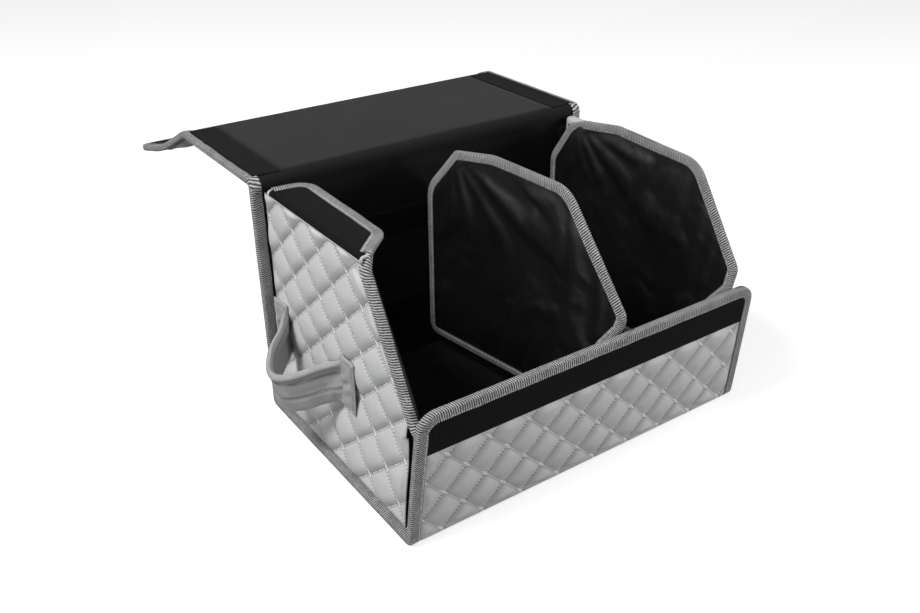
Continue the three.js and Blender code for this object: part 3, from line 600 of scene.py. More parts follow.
def quilted_leather(name, color, thread, du, dv):
    """Light synthetic leather with sewn diamonds: thread dashes on the seams, a bar at each crossing, and
    painted shade on one side of each puff and along the seams.
    """
    m = Shader(name)
    p, q = m.pattern()
    side = 0.5 * du * dv / math.hypot(du / 2, dv / 2)
    fp, fq = (m.off(value, m.math("ROUND", value)) for value in (p, q))
    seams = ((fp, q), (fq, p))
    lines = [m.dashes(m.near(a, 0.35 / side, 0.7 / side), b, 1 / 9, 0.28, 0.36) for a, b in seams]
    bar = m.times(m.near(fp, 4.4 / side, 5.4 / side), m.near(fq, 0.9 / side, 1.3 / side))
    sewn = m.math("MAXIMUM", m.math("MAXIMUM", *lines), bar)
    # painted shade: the colour darkens on one side of each puff and along both sets of seams
    painted_puff_shade = m.times(m.ramp(m.math("FRACT", p), 0.0, 0.34, 0.55, 1.0), m.ramp(fq, 0.0, 0.1, 0.75, 1.0))
    shade = m.times(painted_puff_shade, m.ramp(fp, 0.0, 0.07, 0.5, 1.0))
    mottled = m.noise(14.0, 3.0)
    # the painted shade with a random mottle over it
    tone = m.times(shade, m.ramp(mottled, 0.2, 0.8, 0.95, 1.03))
    base = m.mix(sewn, m.mix(tone, scaled(color, 0.3), color), thread)
    pucker = m.plus(*(m.times(m.wave(b, 0.1), m.near(a, 0.0, 0.14)) for a, b in seams))
    normal = m.bump(m.noise(420.0, 4.0), 0.00025, 0.5, m.grain())
    normal = m.bump(pucker, 0.00035, 0.7, normal)
    normal = m.bump(sewn, 0.0005, 0.9, normal)
    rough = m.plus(m.ramp(mottled, 0.2, 0.8, 0.44, 0.54), m.times(sewn, 0.25))
    return m.finish(base, rough, normal, 0.45)


def plain_leather(name, color, thread=None):
    """The same leather creased instead of quilted, with painted shade in the crease hollows, and with
    stitches and a painted shade groove beside them where its pattern map asks for them.
    """
    m = Shader(name)
    creased = m.noise(70.0, 5.0, 0.62)
    # painted shade: darker where the crease bump is low
    base = m.mix(m.ramp(creased, 0.3, 0.7, 0.84, 1.0), scaled(color, 0.45, 0.45, 0.46), color)
    normal = m.bump(creased, 0.0022, 0.6, m.grain())
    if thread:
        run, inset = m.pattern()
        off = m.off(inset, STITCH_IN)
        sewn = m.dashes(m.near(off, *STITCH), run, STITCH_PITCH, 0.30, 0.38)
        # painted shade: a darker groove along both sides of the stitch line
        base = m.mix(m.ramp(off, 0.8, 2.6, 0.6, 0.0), base, scaled(color, 0.3))
        base = m.mix(sewn, base, thread)
        normal = m.bump(sewn, 0.0005, 0.9, normal)
    return m.finish(base, m.ramp(m.noise(16.0, 3.0), 0.2, 0.8, 0.42, 0.54), normal, 0.45)


def webbing(name, color, thread):
    """Ribbed binding tape: slanting cords broken into small floats, and a stitch line by its edges."""
    m = Shader(name)
    run, across = m.pattern()
    drift = m.times(m.noise(90.0), 1.6)
    cord = m.wave(m.plus(m.plus(run, drift), m.times(across, 0.22)), 2.8)
    floats = m.wave(across, 1.3)
    broken = m.times(m.math("SUBTRACT", m.noise(380.0), 0.5), 1.3)
    rib = m.plus(m.plus(m.times(cord, 0.75), m.times(floats, 0.25)), broken)
    fuzz = m.times(m.math("SUBTRACT", m.noise(1000.0, 3.0), 0.5), 0.9)
    worn = m.ramp(m.noise(45.0, 4.0), 0.25, 0.75, 0.72, 1.05)
    light = tuple(min(c, 1.0) for c in scaled(color, 2.1))
    base = m.mix(m.times(m.plus(m.ramp(rib, -0.55, 0.5), fuzz), worn), scaled(color, 0.1), light)
    sewn = m.dashes(m.near(m.off(across, 2.6), *STITCH), run, STITCH_PITCH, 0.32, 0.4)
    normal = m.bump(sewn, 0.0005, 0.9, m.bump(rib, 0.0012, 1.0))
    return m.finish(m.mix(sewn, base, thread), 0.9, normal, 0.2, 0.15, 0.6)


def hook_tape(name, color):
    """Black hook and loop tape: fine ribs and a short fuzzy pile."""
    m = Shader(name)
    ribs = m.wave(m.pattern()[0], 2.1)
    pile = m.noise(1300.0, 3.0)
    tone = m.plus(m.ramp(ribs, -1.0, 1.0, 0.15, 0.75), m.times(m.math("SUBTRACT", pile, 0.5), 0.9))
    tone = m.times(tone, m.ramp(m.noise(60.0, 3.0), 0.3, 0.7, 0.7, 1.0))
    normal = m.bump(m.plus(m.times(ribs, 0.4), pile), 0.0006, 0.9)
    return m.finish(m.mix(tone, scaled(color, 0.5), scaled(color, 1.9)), 0.95, normal, 0.06, 0.02, 0.7)


def woven(name, color, rough, weave=0.9, wrinkle=0.6, sheen=0.02, lift=1.8, size=9.0, specular=0.12):
    """Plain woven cloth with broad soft wrinkles, painted lighter on their crests."""
    m = Shader(name)
    cell = m.times(*(m.wave(value, weave) for value in m.pattern()))
    broad = m.noise(size, 4.0, 0.55)
    # painted light: the colour is lighter on the crests of the broad wrinkles, by the factor lift
    base = m.mix(m.ramp(broad, 0.3, 0.7), color, scaled(color, lift))
    base = m.mix(m.ramp(cell, -1.0, 1.0, 0.0, 0.35), base, scaled(color, 0.4))
    normal = m.bump(broad, 0.004, wrinkle, m.bump(cell, 0.00008, 0.6))
    return m.finish(base, rough, normal, specular, sheen)


def fibre_board(name, color):
    m = Shader(name)
    fleck = m.noise(600.0, 3.0)
    base = m.mix(m.ramp(fleck, 0.3, 0.7), scaled(color, 0.7), color)
    return m.finish(base, 0.85, m.bump(fleck, 0.0002, 0.6), 0.3)


def make_materials(look):
    grey, thread = tuple(look.leather), tuple(look.thread)
    FINISH["front"] = quilted_leather("leather_front", grey, thread, FRONT_Q["du"], FRONT_Q["dv"])
    FINISH["side"] = quilted_leather("leather_side", grey, thread, SIDE_Q["du"], SIDE_Q["dv"])
    FINISH["leather"] = plain_leather("leather_plain", grey)
    FINISH["stitched"] = plain_leather("leather_stitched", scaled(grey, 0.64), thread)
    FINISH["webbing"] = webbing("webbing_grey", tuple(look.webbing), thread)
    FINISH["hook"] = hook_tape("hook_and_loop", tuple(look.tape))
    # lining, satin and liner are painted lighter on their wrinkle crests, by 1.8, 1.5 and 1.25
    FINISH["lining"] = woven("lining_black", tuple(look.lining), 0.8)
    FINISH["satin"] = woven("satin_black", tuple(look.satin), 0.42, 0.6, 0.3, 0.0, 1.5, 12.0, 0.4)
    FINISH["liner"] = woven("liner_dark_grey", tuple(look.liner), 0.9, 1.4, 0.12, 0.05, 1.25, 14.0, 0.12)
    FINISH["fibre"] = fibre_board("stiffener_board", (0.012, 0.012, 0.013))


# Settings
def length(name, text, default):
    return bpy.props.FloatProperty(name=name, description=text, default=default, unit="LENGTH")


def colour(name, text, default):
    settings = {"name": name, "description": text, "default": default}
    return bpy.props.FloatVectorProperty(subtype="COLOR", size=3, **settings)


class OrganizerSizes(bpy.types.PropertyGroup):
    puff: length("Puff", "Height of the quilted diamonds above the flat cover", 0.0042)
    cell: length("Cell", "Mesh step of the quilted covers", 0.0024)
    wave: length("Wave", "How far a binding wanders from a straight line", 0.00035)
    fold: length("Fold", "Depth of the wrinkles in the divider satin", 0.0018)


class OrganizerLook(bpy.types.PropertyGroup):
    leather: colour("Leather", "Quilted cover colour", (0.60, 0.604, 0.612))
    webbing: colour("Webbing", "Binding colour", (0.40, 0.403, 0.41))
    thread: colour("Thread", "Stitching colour", (0.93, 0.93, 0.93))
    tape: colour("Tape", "Hook and loop colour", (0.0045, 0.0045, 0.0048))
    lining: colour("Lining", "Inner lining colour", (0.0045, 0.0045, 0.005))
    satin: colour("Satin", "Divider cloth colour", (0.005, 0.005, 0.0055))
    liner: colour("Liner", "Lid liner colour", (0.018, 0.018, 0.0195))


def sizes():
    return bpy.context.scene.organizer_sizes


def rise():
    return sizes().puff * 1000


def cell_step():
    return sizes().cell * 1000


# The box
class ORGANIZER_OT_cover(bpy.types.Operator):
    """Quilted outer strip over front, base and back"""

    bl_idname = "organizer.cover"
    bl_label = "Cover strip"

    def execute(self, context):
        step = cell_step()

        def surface(u, s):
            x = strip_x(u, s)
            side = np.minimum(x - INNER, WIDTH - INNER - x) - pinch(s)
            front = edge_fade(side, s - LOOP_FOOT, S1 + 2.0 - s)
            back = edge_fade(side, s - S4 - 3, S5 - 3 - s)
            flat = smooth(s, S1 - 3, S1 + 3) * (1 - smooth(s, S4 - 3, S4 + 3)) * smooth(side, 0, 3)
            puffs = quilt(x, s, FRONT_Q, 1) * front * (s < S1 + 4) + quilt(x, s, BACK_Q, 5) * back * (s > S4)
            h = SEAM + (rise() + SEAM_DIP) * puffs - SEAM_DIP * np.maximum(front * (s < S1), back * (s > S4))
            return on_strip(s, x, np.maximum(h, SEAM + (BASE - SEAM) * flat))

        def pattern(u, s):
            x = EDGE + u * (WIDTH - 2 * EDGE)
            on_back = s > (S2 + S3) / 2
            return [np.where(on_back, b, f) for b, f in zip(lattice(x, s, BACK_Q), lattice(x, s, FRONT_Q))]

        columns, rows = spread(0, 1, step / (WIDTH - 2 * EDGE)), strip_rows(step, 1.2, 8, step * 1.6)
        sheet(
            "cover_strip", columns, rows, surface, lambda c: c - HEART, LEATHER_THICK,
            "box", "front", ["cover_shell"], pattern,
        )
        inset = 2.0
        sheet(
            "board_front_sheet", spread(0, 1, 1 / 60), spread(3, S1 - 4, 4),
            lambda u, s: on_strip(s, strip_x(u, s, EDGE + inset, RIM_R - EDGE + inset), -0.6),
            (0, -1, 0), BOARD_THICK, "box", "fibre", ["board_front"],
        )
        return {"FINISHED"}


WALL_SHAPE = [(12.0, 152.0, 24.0), (98.0, WALL_TOP, 34.0)]


def wall_front(z):
    """The y of the side wall's front edge at height z."""
    return edge_at(rounded([(12, 0), *WALL_SHAPE, (150, WALL_TOP)], True, 3), z)


def side_wall(name, right):
    step = cell_step()
    rear = BACK_IN - GAP
    run = 310
    flat_to = 25.0

    def wall_y(u, z):
        front = np.maximum(wall_front(np.minimum(z + EDGE, WALL_TOP)) + EDGE * 1.1, flat_to - 0.5)
        return front + u * (rear - front)

    def surface(u, z):
        y = wall_y(u, z)
        rim = wall_front(np.minimum(z + 12.0, WALL_TOP)) + 6.0
        band = np.where(z > 125, y - rim - 2.0, y - flat_to)
        fade = edge_fade(band, rear - y, z - FOOT_Z - 2, WALL_TOP - z + 3)
        h = SEAM + (rise() + SEAM_DIP) * quilt(y, z, SIDE_Q, 9 if right else 2) * fade - SEAM_DIP * fade
        return mirrored(np.stack([REF_X - h - bulge(z), y, z], -1), right)

    def inside(u, z):
        y = wall_y(u, z)
        rim = wall_front(np.minimum(z + 16, WALL_TOP)) + 14
        panel = edge_fade(y - rim, rear - 14 - y, z - 24, WALL_TOP - 12 - z, over=3.0)
        x = REF_X + 3.9 + 0.45 * panel + 0.25 * ripple(y, z, 21, 60) * panel
        return mirrored(np.stack([x, y, z], -1), right)

    outward = 1 if right else -1
    sheet(
        f"cover_side_{name}", spread(0, 1, step / run), spread(FOOT_Z + 1.9, WALL_TOP, step), surface,
        (outward, 0, 0), LEATHER_THICK, "box", "side", [f"cover_{name}"],
        lambda u, z: lattice(wall_y(u, z), z, SIDE_Q),
    )
    sheet(
        f"lining_side_{name}", spread(0, 1, 1 / 60), spread(FOOT_Z, WALL_TOP, 5), inside,
        (-outward, 0, 0), LINING_THICK, "box", "lining", [f"lining_{name}"],
        pattern=lambda u, z: (wall_y(u, z), z),
    )


class ORGANIZER_OT_side_walls(bpy.types.Operator):
    """Both side walls with their quilting and lining"""

    bl_idname = "organizer.side_walls"
    bl_label = "Side walls"

    def execute(self, context):
        for name, right in SIDES:
            side_wall(name, right)
        return {"FINISHED"}


def gusset(name, right):
    """Black tapes in the box's upright corners, in front and behind, beside one side wall."""
    wide, deep = 15, 31
    bend = rounded([(13.5, 0), (INNER_X + 0.7, 0, 2.5), (INNER_X + 0.7, wide)], True, 15)

    def front(u, z):
        x, y = along(bend, u)
        start = (PUFF - (z - 10) * math.tan(LEAN)) + (WALL_IN + 0.9) / math.cos(LEAN)
        return mirrored(np.stack([x, start + y / wide * (deep - start), z], -1), right)

    rear_bend = rounded([(INNER_X + 0.9, 12), (INNER_X + 0.9, 0, 2.0), (INNER_X + 12.5, 0)], True, 15)

    def rear(u, z):
        x, y = along(rear_bend, u)
        return mirrored(np.stack([x, BACK_IN - GAP - 0.8 - y, z], -1), right)

    for place, rows, surface, face, thick in (
        ("front", spread(12, 150, 6), front, 1, 0.6), ("back", spread(12, 286, 8), rear, -1, 0.5),
    ):
        sheet(
            f"gusset_{place}_side_{name}", spread(0, 1, 1 / 14), rows, surface, (0, face, 0.0), thick,
            "box", "lining", [f"gusset_{place}_{name}"], pattern=lambda u, z: (u * 30, z),
        )


class ORGANIZER_OT_lining(bpy.types.Operator):
    """Black lining of the strip, the insert board and the corner gussets"""

    bl_idname = "organizer.lining"
    bl_label = "Lining"

    def execute(self, context):
        def surface(u, s):
            x = strip_x(u, s)
            side = np.minimum(x - 40.0, WIDTH - 40.0 - x)
            board = edge_fade(side, s - S4 - 8, S5 - 12 - s, over=3.0)
            return on_strip(s, x, -(4.0 + 0.5 * board + 0.3 * ripple(x, s, 31, 70) * board))

        sheet(
            "lining_strip", spread(0, 1, 1 / 110), strip_rows(5, 1.5, 10, 4), surface, lambda c: HEART - c,
            LINING_THICK, "box", "lining", ["lining_shell"], pattern=lambda u, s: (u * WIDTH, s),
        )
        x0, x1, y0, y1, thick = INNER_X + 1.4, WIDTH - INNER_X - 1.4, 13.0, 323.0, 3.0
        clear()
        bpy.ops.mesh.primitive_cube_add(size=1, location=(0, 0, 0))
        board = bpy.context.object
        board.name = "floor_insert"
        centre = Vector(row([(x0 + x1) / 2, (y0 + y1) / 2, FOOT_Z + thick / 2]))
        size = Matrix.Diagonal((0.001 * (x1 - x0), 0.001 * (y1 - y0), 0.001 * thick, 1))
        board.data.transform(Matrix.Translation(centre) @ size)
        edit(board, lambda: bpy.ops.mesh.bevel(offset=0.0011, segments=3, affect="EDGES"))
        layer = board.data.uv_layers.new(name="Pattern")
        for loop in board.data.loops:
            co = board.data.vertices[loop.vertex_index].co
            layer.data[loop.index].uv = (co.x * 1000, co.y * 1000)
        only(board)
        bpy.ops.object.shade_smooth_by_angle(angle=math.radians(40))
        dress(board, "box", "lining", ["insert_board"])
        for name, right in SIDES:
            gusset(name, right)
        return {"FINISHED"}


def strip_frames(samples, x, direction):
    y, z, ny, nz = strip(samples)
    normal = np.stack([0 * y, -ny, -nz], -1)
    return edge_frames(x + direction * pinch(samples), y, z, (direction, 0.0, 0.0), normal)


def rim_arc(cx, sign):
    """Frames round one upper corner of the front wall."""
    t = np.linspace(0, math.pi / 2, 16)
    dx, du = sign * np.cos(t), np.sin(t)
    y, z, ny, nz = strip(RIM_R - EDGE - RIM_R * du)
    inward = np.stack([-dx, math.sin(LEAN) * du, -math.cos(LEAN) * du], -1)
    return edge_frames(cx + dx * RIM_R, y, z, inward, np.stack([0 * y, -ny, -nz], -1))


FLANGE_SHAPE = [(15.5, 87.0), (66.5, 138.0, 26.0), (70.0, 314.0, 22.0), (15.5, 318.0)]
SLANT_FOOT = [(3.0, 141.5), (13.0, 149.0, 22.0)]


def flange_height(x, y):
    """Height of the flange's upper face: rolled over the wall, then nearly level."""
    roll = np.clip(FLANGE_WALL_X + FLANGE_ROLL - x, 0, FLANGE_ROLL)
    sag = 0.9 * ripple(y, x, 81, 90) * smooth(x, 30, 70) - 1.2 * smooth(x, 40, 72)
    return FLANGE_FACE - (FLANGE_ROLL - np.sqrt(FLANGE_ROLL ** 2 - roll ** 2)) + sag


def slant_and_flange_frames():
    """One tape: up the slanted wall edge, over the wall's corner and round the flange."""
    wall = dense(rounded([*SLANT_FOOT, (91.0, 281.5)], True, 6), 3.0)
    wall = np.column_stack([np.full(len(wall), REF_X - WALL_OUT), wall])
    outline = dense(rounded(FLANGE_SHAPE, True, 6), 3.0)
    x, y = outline.T
    rim = np.vstack([outline[x > 30], outline[(x <= 30) & (x > 21) & (y > 200)]])
    rim = np.column_stack([rim, flange_height(*rim.T)])
    # a smooth corner between the wall's slope and the flange's front edge
    leave, arrive = np.array([0.0, 0.5, 0.86]) * 14, np.array([0.72, 0.69, 0.0]) * 14
    turn = np.linspace(0, 1, 10)[1:-1]
    corner = hermite(turn[:, None], wall[-1], leave, rim[0], arrive)
    angle = turn * math.pi / 2
    pos = np.vstack([wall, corner, rim])
    b = np.vstack([
        np.tile([1.0, 0.0, 0.0], (len(wall), 1)), np.stack([np.cos(angle), 0 * turn, -np.sin(angle)], -1),
        np.tile([0.0, 0.0, -1.0], (len(rim), 1)),
    ])
    size = np.concatenate([np.ones(len(wall)), 1.0 - 0.35 * turn, np.full(len(rim), 0.65)])
    keep = np.concatenate([[True], np.linalg.norm(np.diff(pos, axis=0), axis=1) > 0.4])
    pos, b, size = pos[keep], b[keep], size[keep]
    t = np.gradient(pos, axis=0)
    t /= np.linalg.norm(t, axis=1)[:, None]
    a = np.cross(t, b)
    a /= np.linalg.norm(a, axis=1)[:, None]
    return pos, a, np.cross(a, t) * size[:, None]


class ORGANIZER_OT_bindings(bpy.types.Operator):
    """Webbing bindings of the box: strip edges with the front rim, and the slanted wall edges"""

    bl_idname = "organizer.bindings"
    bl_label = "Box bindings"

    def execute(self, context):
        down = strip_rows(4, 1.2, 5, 4, RIM_R + 1)
        turn = RIM_R + float(pinch(np.array([RIM_R]))[0])
        left, right = rim_arc(turn, -1), rim_arc(WIDTH - turn, 1)
        t = np.linspace(0, 1, 118)[1:-1, None]
        middle = (left[0][-1] * (1 - t) + right[0][-1] * t, *(np.tile(d[-1], (len(t), 1)) for d in left[1:]))
        parts = [
            [m[::-1] for m in strip_frames(down, 0.0, 1.0)], left, middle, [m[::-1] for m in right],
            strip_frames(down, WIDTH, -1.0),
        ]
        frames = [np.vstack([p[k] for p in parts]) for k in range(3)]
        binding("binding_strip", frames, "box", ["binding_shell"], 3)
        path = rounded([*SLANT_FOOT, *WALL_SHAPE[1:], (122, WALL_TOP)], True, 6)
        pos, a, b = outline_frames(path, lambda y, z: (REF_X - WALL_OUT, y, z), (1, 0, 0), -1)
        binding("binding_slant_right", (mirrored(pos, True), a, b * [-1, 1, 1]), "box", ["binding_right"], 7)
        both = ["binding_left", "flange_left_binding"]
        obj = binding("binding_slant_and_flange", slant_and_flange_frames(), None, both, 7)
        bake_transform(obj)
        return {"FINISHED"}


class ORGANIZER_OT_tapes(bpy.types.Operator):
    """Loop strips on the front wall and on the back wall's inside"""

    bl_idname = "organizer.tapes"
    bl_label = "Loop strips"

    def execute(self, context):
        def across(u, s):
            return strip_x(u, s, LOOP_INSET, RIM_R, RIM_R - LOOP_INSET)

        def front(u, s):
            edge = smooth(LOOP_FOOT - s, 0, 2.5)
            return on_strip(s, across(u, s), 2.7 + 0.6 * edge + 0.1 * ripple(u * WIDTH, s, 41, 30))

        sheet(
            "loop_strip_front", spread(0, 1, 1 / 200), spread(LOOP_INSET, LOOP_FOOT, 1.6), front,
            (0, -1, 0), TAPE_THICK, "box", "hook", ["loop_front"],
            pattern=lambda u, s: (across(u, s), s),
        )
        start, end = 40, 460
        for name, lo, hi in (("upper", 195, 230), ("lower", 60, 100)):
            def back(x, z, lo=lo, hi=hi):
                edge = edge_fade(x - start, end - x, z - lo, hi - z, over=2.5)
                return np.stack([x, BACK_IN - 0.55 - 0.65 * edge, z], -1)

            sheet(
                f"loop_strip_back_{name}", spread(start, end, 4), spread(lo, hi, 4), back, (0, -1, 0),
                TAPE_THICK, "box", "hook", [f"loop_back_{name}"],
            )
        return {"FINISHED"}


# Lid, flap and folds
class ORGANIZER_OT_lid(bpy.types.Operator):
    """Lid: quilted cover, lining, liner board, hook strips and bindings"""

    bl_idname = "organizer.lid"
    bl_label = "Lid"

    def execute(self, context):
        step = cell_step()
        q = dict(FRONT_Q, v0=LID_START + 24)
        strip_end = 44

        def under(x, y):
            fade = edge_fade(x - INNER, WIDTH - INNER - x, y - LID_START - 6, LID_END - 6 - y)
            return np.stack([x, y, REF_Z - SEAM - rise() * quilt(x, y, q, 4) * fade], -1)

        def lining(x, y):
            return np.stack([x, y, REF_Z + WALL_IN + 0.1 * ripple(x, y, 51, 60)], -1)

        def liner(x, y):
            edge = edge_fade(x - strip_end, WIDTH - strip_end - x, y - LID_START, LID_END - y, over=5)
            return np.stack([x, y, REF_Z + 4.6 + 1.2 * edge + 0.25 * ripple(x, y, 52, 120) * edge], -1)

        sheet(
            "lid_quilt", spread(EDGE, WIDTH - EDGE, step), spread(LID_START, LID_END, step), under,
            (0, 0, -1), LEATHER_THICK, "lid", "front", ["lid_cover"],
            lambda x, y: lattice(x, y, q),
        )
        sheet(
            "lid_inner_lining", spread(EDGE, WIDTH - EDGE, 6), spread(LID_START, LID_END, 6), lining,
            (0, 0, 1), LINING_THICK, "lid", "lining", ["lid_lining"],
        )
        sheet(
            "lid_liner_board", spread(strip_end, WIDTH - strip_end, 4), spread(LID_START, LID_END, 4), liner,
            (0, 0, 1), 0.8, "lid", "liner", ["lid_liner"],
        )
        for name, right in SIDES:
            lo, hi = (WIDTH - strip_end, WIDTH - 6.5) if right else (6.5, strip_end)

            def strip_top(x, y, lo=lo, hi=hi):
                inward = smooth(np.minimum(x, WIDTH - x), INNER, INNER + 4)
                edge = smooth(np.minimum(x - lo, hi - x), 0, 2.0)
                pile = 0.12 * ripple(x, y, 53, 25)
                return np.stack([x, y, REF_Z + 5.4 - 0.8 * inward + 0.8 * edge + pile], -1)

            sheet(
                f"lid_hook_strip_{name}", spread(lo, hi, 3), spread(LID_START, LID_END, 3), strip_top,
                (0, 0, 1), TAPE_THICK, "lid", "hook", [f"lid_hook_{name}"],
            )
            x, inward = (WIDTH, -1.0) if right else (0.0, 1.0)
            frames = edge_frames(x, spread(LID_START, LID_END, 4), REF_Z, (inward, 0.0, 0.0), (0.0, 0.0, 1.0))
            binding(f"lid_edge_binding_{name}", frames, "lid", [f"lid_binding_{name}"], 11)
        return {"FINISHED"}


def turn_flap(p):
    """The flap is worked out flat, sagged a little and then turned down about its fold."""
    down = np.clip((p[:, 1] - FLAP_AXIS) / (FLAP_END - FLAP_AXIS), 0, 1)
    y, z = p[:, 1] - FLAP_AXIS, p[:, 2] - HINGE_Z - 8.0 * np.sin(np.pi * down) ** 1.5
    return turn_dir(np.stack([p[:, 0], y, z], -1)) + [0.0, FLAP_AXIS, HINGE_Z]


def turn_dir(d):
    c, s = math.cos(-DROOP), math.sin(-DROOP)
    return np.stack([d[:, 0], d[:, 1] * c - d[:, 2] * s, d[:, 1] * s + d[:, 2] * c], -1)


class ORGANIZER_OT_flap(bpy.types.Operator):
    """Front flap that hangs behind the open lid"""

    bl_idname = "organizer.flap"
    bl_label = "Flap"

    def execute(self, context):
        step = cell_step()
        q = dict(FRONT_Q, v0=FLAP_START + 24)
        corner_y = FLAP_END - FLAP_CORNER
        up, down = (0, 0, 1), (0, 0, -1)

        def margin(y):
            return EDGE + corner_cut(y - corner_y, FLAP_CORNER - EDGE)

        def across(u, y, inset=0.0):
            m = margin(y) + inset
            return m + u * (WIDTH - 2 * m)

        def level(x, y, z):
            return turn_flap(np.stack(np.broadcast_arrays(x, y, z), -1))

        def under(u, y):
            x, m = across(u, y), margin(y)
            side = np.minimum(x, WIDTH - x) - INNER - (m - EDGE) * 0.8
            fade = edge_fade(side, y - FLAP_START - 5, FLAP_END - INNER - y)
            return level(x, y, REF_Z - SEAM - rise() * quilt(x, y, q, 6) * fade)

        def lining(u, y):
            x = across(u, y)
            return level(x, y, REF_Z + WALL_IN + 0.15 * ripple(x, y, 61, 70))

        side, rear, front = 30, FLAP_END - 50, FLAP_END - 14

        def hook(x, y):
            edge = edge_fade(x - side, WIDTH - side - x, y - rear, front - y, over=2.5)
            return level(x, y, REF_Z + 4.7 + 0.8 * edge)

        rows = stretches((FLAP_START, corner_y, step), (corner_y, FLAP_END - EDGE, 1.6))
        sheet(
            "flap_quilt", spread(0, 1, 1 / 206), rows, under, down, LEATHER_THICK,
            "flap", "front", ["flap_cover"],
            lambda u, y: lattice(across(u, y), y, q),
        )
        sheet(
            "flap_inner_lining", spread(0, 1, 1 / 80), rows[::2], lining, up, LINING_THICK,
            "flap", "lining", ["flap_lining"], pattern=lambda u, y: (u * WIDTH, y),
        )
        sheet(
            "flap_board_sheet", spread(0, 1, 1 / 60), spread(FLAP_START + 3, FLAP_END - EDGE - 2, 4),
            lambda u, y: level(across(u, y, 2.0), y, REF_Z + 2.9), up, BOARD_THICK,
            "flap", "fibre", ["flap_board"],
        )
        sheet(
            "flap_hook_strip", spread(side, WIDTH - side, 3), spread(rear, front, 3), hook, up, TAPE_THICK,
            "flap", "hook", ["flap_hook"],
        )
        corners = [(0, FLAP_END, FLAP_CORNER), (WIDTH, FLAP_END, FLAP_CORNER)]
        outline = rounded([(0, FLAP_START), *corners, (WIDTH, FLAP_START)], True, 6)
        pos, a, b = outline_frames(outline, lambda x, y: (x, y, REF_Z), up, -1)
        binding("flap_edge_binding", (turn_flap(pos), turn_dir(a), turn_dir(b)), "flap", ["flap_binding"], 13)
        return {"FINISHED"}


def bend_path(kind):
    """Points and outward normals of the strip's reference line through a fold, in y and z."""
    if kind == "lid":
        r = 6.0
        c = (BACK_REF + r, REF_Z - r)
        pts = [(BACK_REF, z, 1.0, 0.0) for z in np.linspace(BACK_TOP - 6, c[1], 4)[:-1]]
        for t in np.linspace(math.pi, math.pi / 2, 9):
            pts.append((c[0] + r * math.cos(t), c[1] + r * math.sin(t), -math.cos(t), -math.sin(t)))
        pts += [(y, REF_Z, 0.0, -1.0) for y in np.linspace(c[0], LID_START + 8, 4)[1:]]
        return np.array(pts)
    r = 22.0
    half = r * math.tan(DROOP / 2)
    y0 = FLAP_AXIS - half
    pts = [(y, REF_Z, 0.0, -1.0) for y in np.linspace(LID_END - 6, y0, 3)[:-1]]
    for t in np.linspace(0, DROOP, 7):
        pts.append((y0 + r * math.sin(t), REF_Z - r + r * math.cos(t), -math.sin(t), -math.cos(t)))
    e = pts[-1]
    c, s = math.cos(DROOP), math.sin(DROOP)
    over = np.linspace(0, FLAP_START + 6 - FLAP_AXIS - half, 3)[1:]
    pts += [(e[0] + k * c, e[1] - k * s, -s, -c) for k in over]
    return np.array(pts)


class ORGANIZER_OT_folds(bpy.types.Operator):
    """Soft folds that join back wall, lid and flap"""

    bl_idname = "organizer.folds"
    bl_label = "Folds"

    def execute(self, context):
        past = 7
        flap_end = (FLAP_AXIS + past * math.cos(DROOP), HINGE_Z - past * math.sin(DROOP))
        loose = [(p[0] + 0.12, p[1] * 1.02) for p in OVER_EDGE]
        for kind, a, b, start, end in (
            ("lid", "box", "lid", (329.0, 297.5), (LID_START + 2.5, 306.8)),
            ("flap", "lid", "flap", (LID_END - 1, HINGE_Z), flap_end),
        ):
            start, end = row([WIDTH / 2, *start]), row([WIDTH / 2, *end])
            path = bend_path(kind)
            run = path_length(path[:, :2])
            fine = spread(0, run[-1], 1.2)
            lines = [np.interp(fine, run, path[:, k]) for k in range(4)]

            def sheet_at(depth, wavy):
                def surface(x, s):
                    y, z, ny, nz = (np.interp(s, fine, line) for line in lines)
                    d = depth + wavy * ripple(x, s * 3, 71, 40)
                    return np.stack([x, y + ny * d, z + nz * d], -1)
                return surface

            cover, lining = sheet_at(SEAM - 0.05, 0.12), sheet_at(-WALL_IN - 0.25, 0.15)
            for layer, surface, face, thick, finish, slot, replaced in (
                ("cover", cover, (0, 0.7, -0.7), 1.1, "leather", "leatherette", [f"{kind}_fold"]),
                ("lining", lining, (0, -0.7, 0.7), LINING_THICK, "lining", "lining", ()),
            ):
                columns = spread(EDGE, WIDTH - EDGE, 4)
                name = f"{kind}_fold_{layer}"
                obj = sheet(name, columns, fine, surface, face, thick, None, finish, replaced)
                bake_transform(obj)
            y, z, ny, nz = lines
            normal = np.stack([0 * y, -ny, -nz], -1)
            for side, x, inward in (("left", 0.0, 1.0), ("right", WIDTH, -1.0)):
                frames = edge_frames(x, y, z, (inward, 0.0, 0.0), normal)
                obj = binding(f"{kind}_fold_binding_{side}", frames, None, (), 17, 0.1, loose)
                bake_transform(obj)
        return {"FINISHED"}


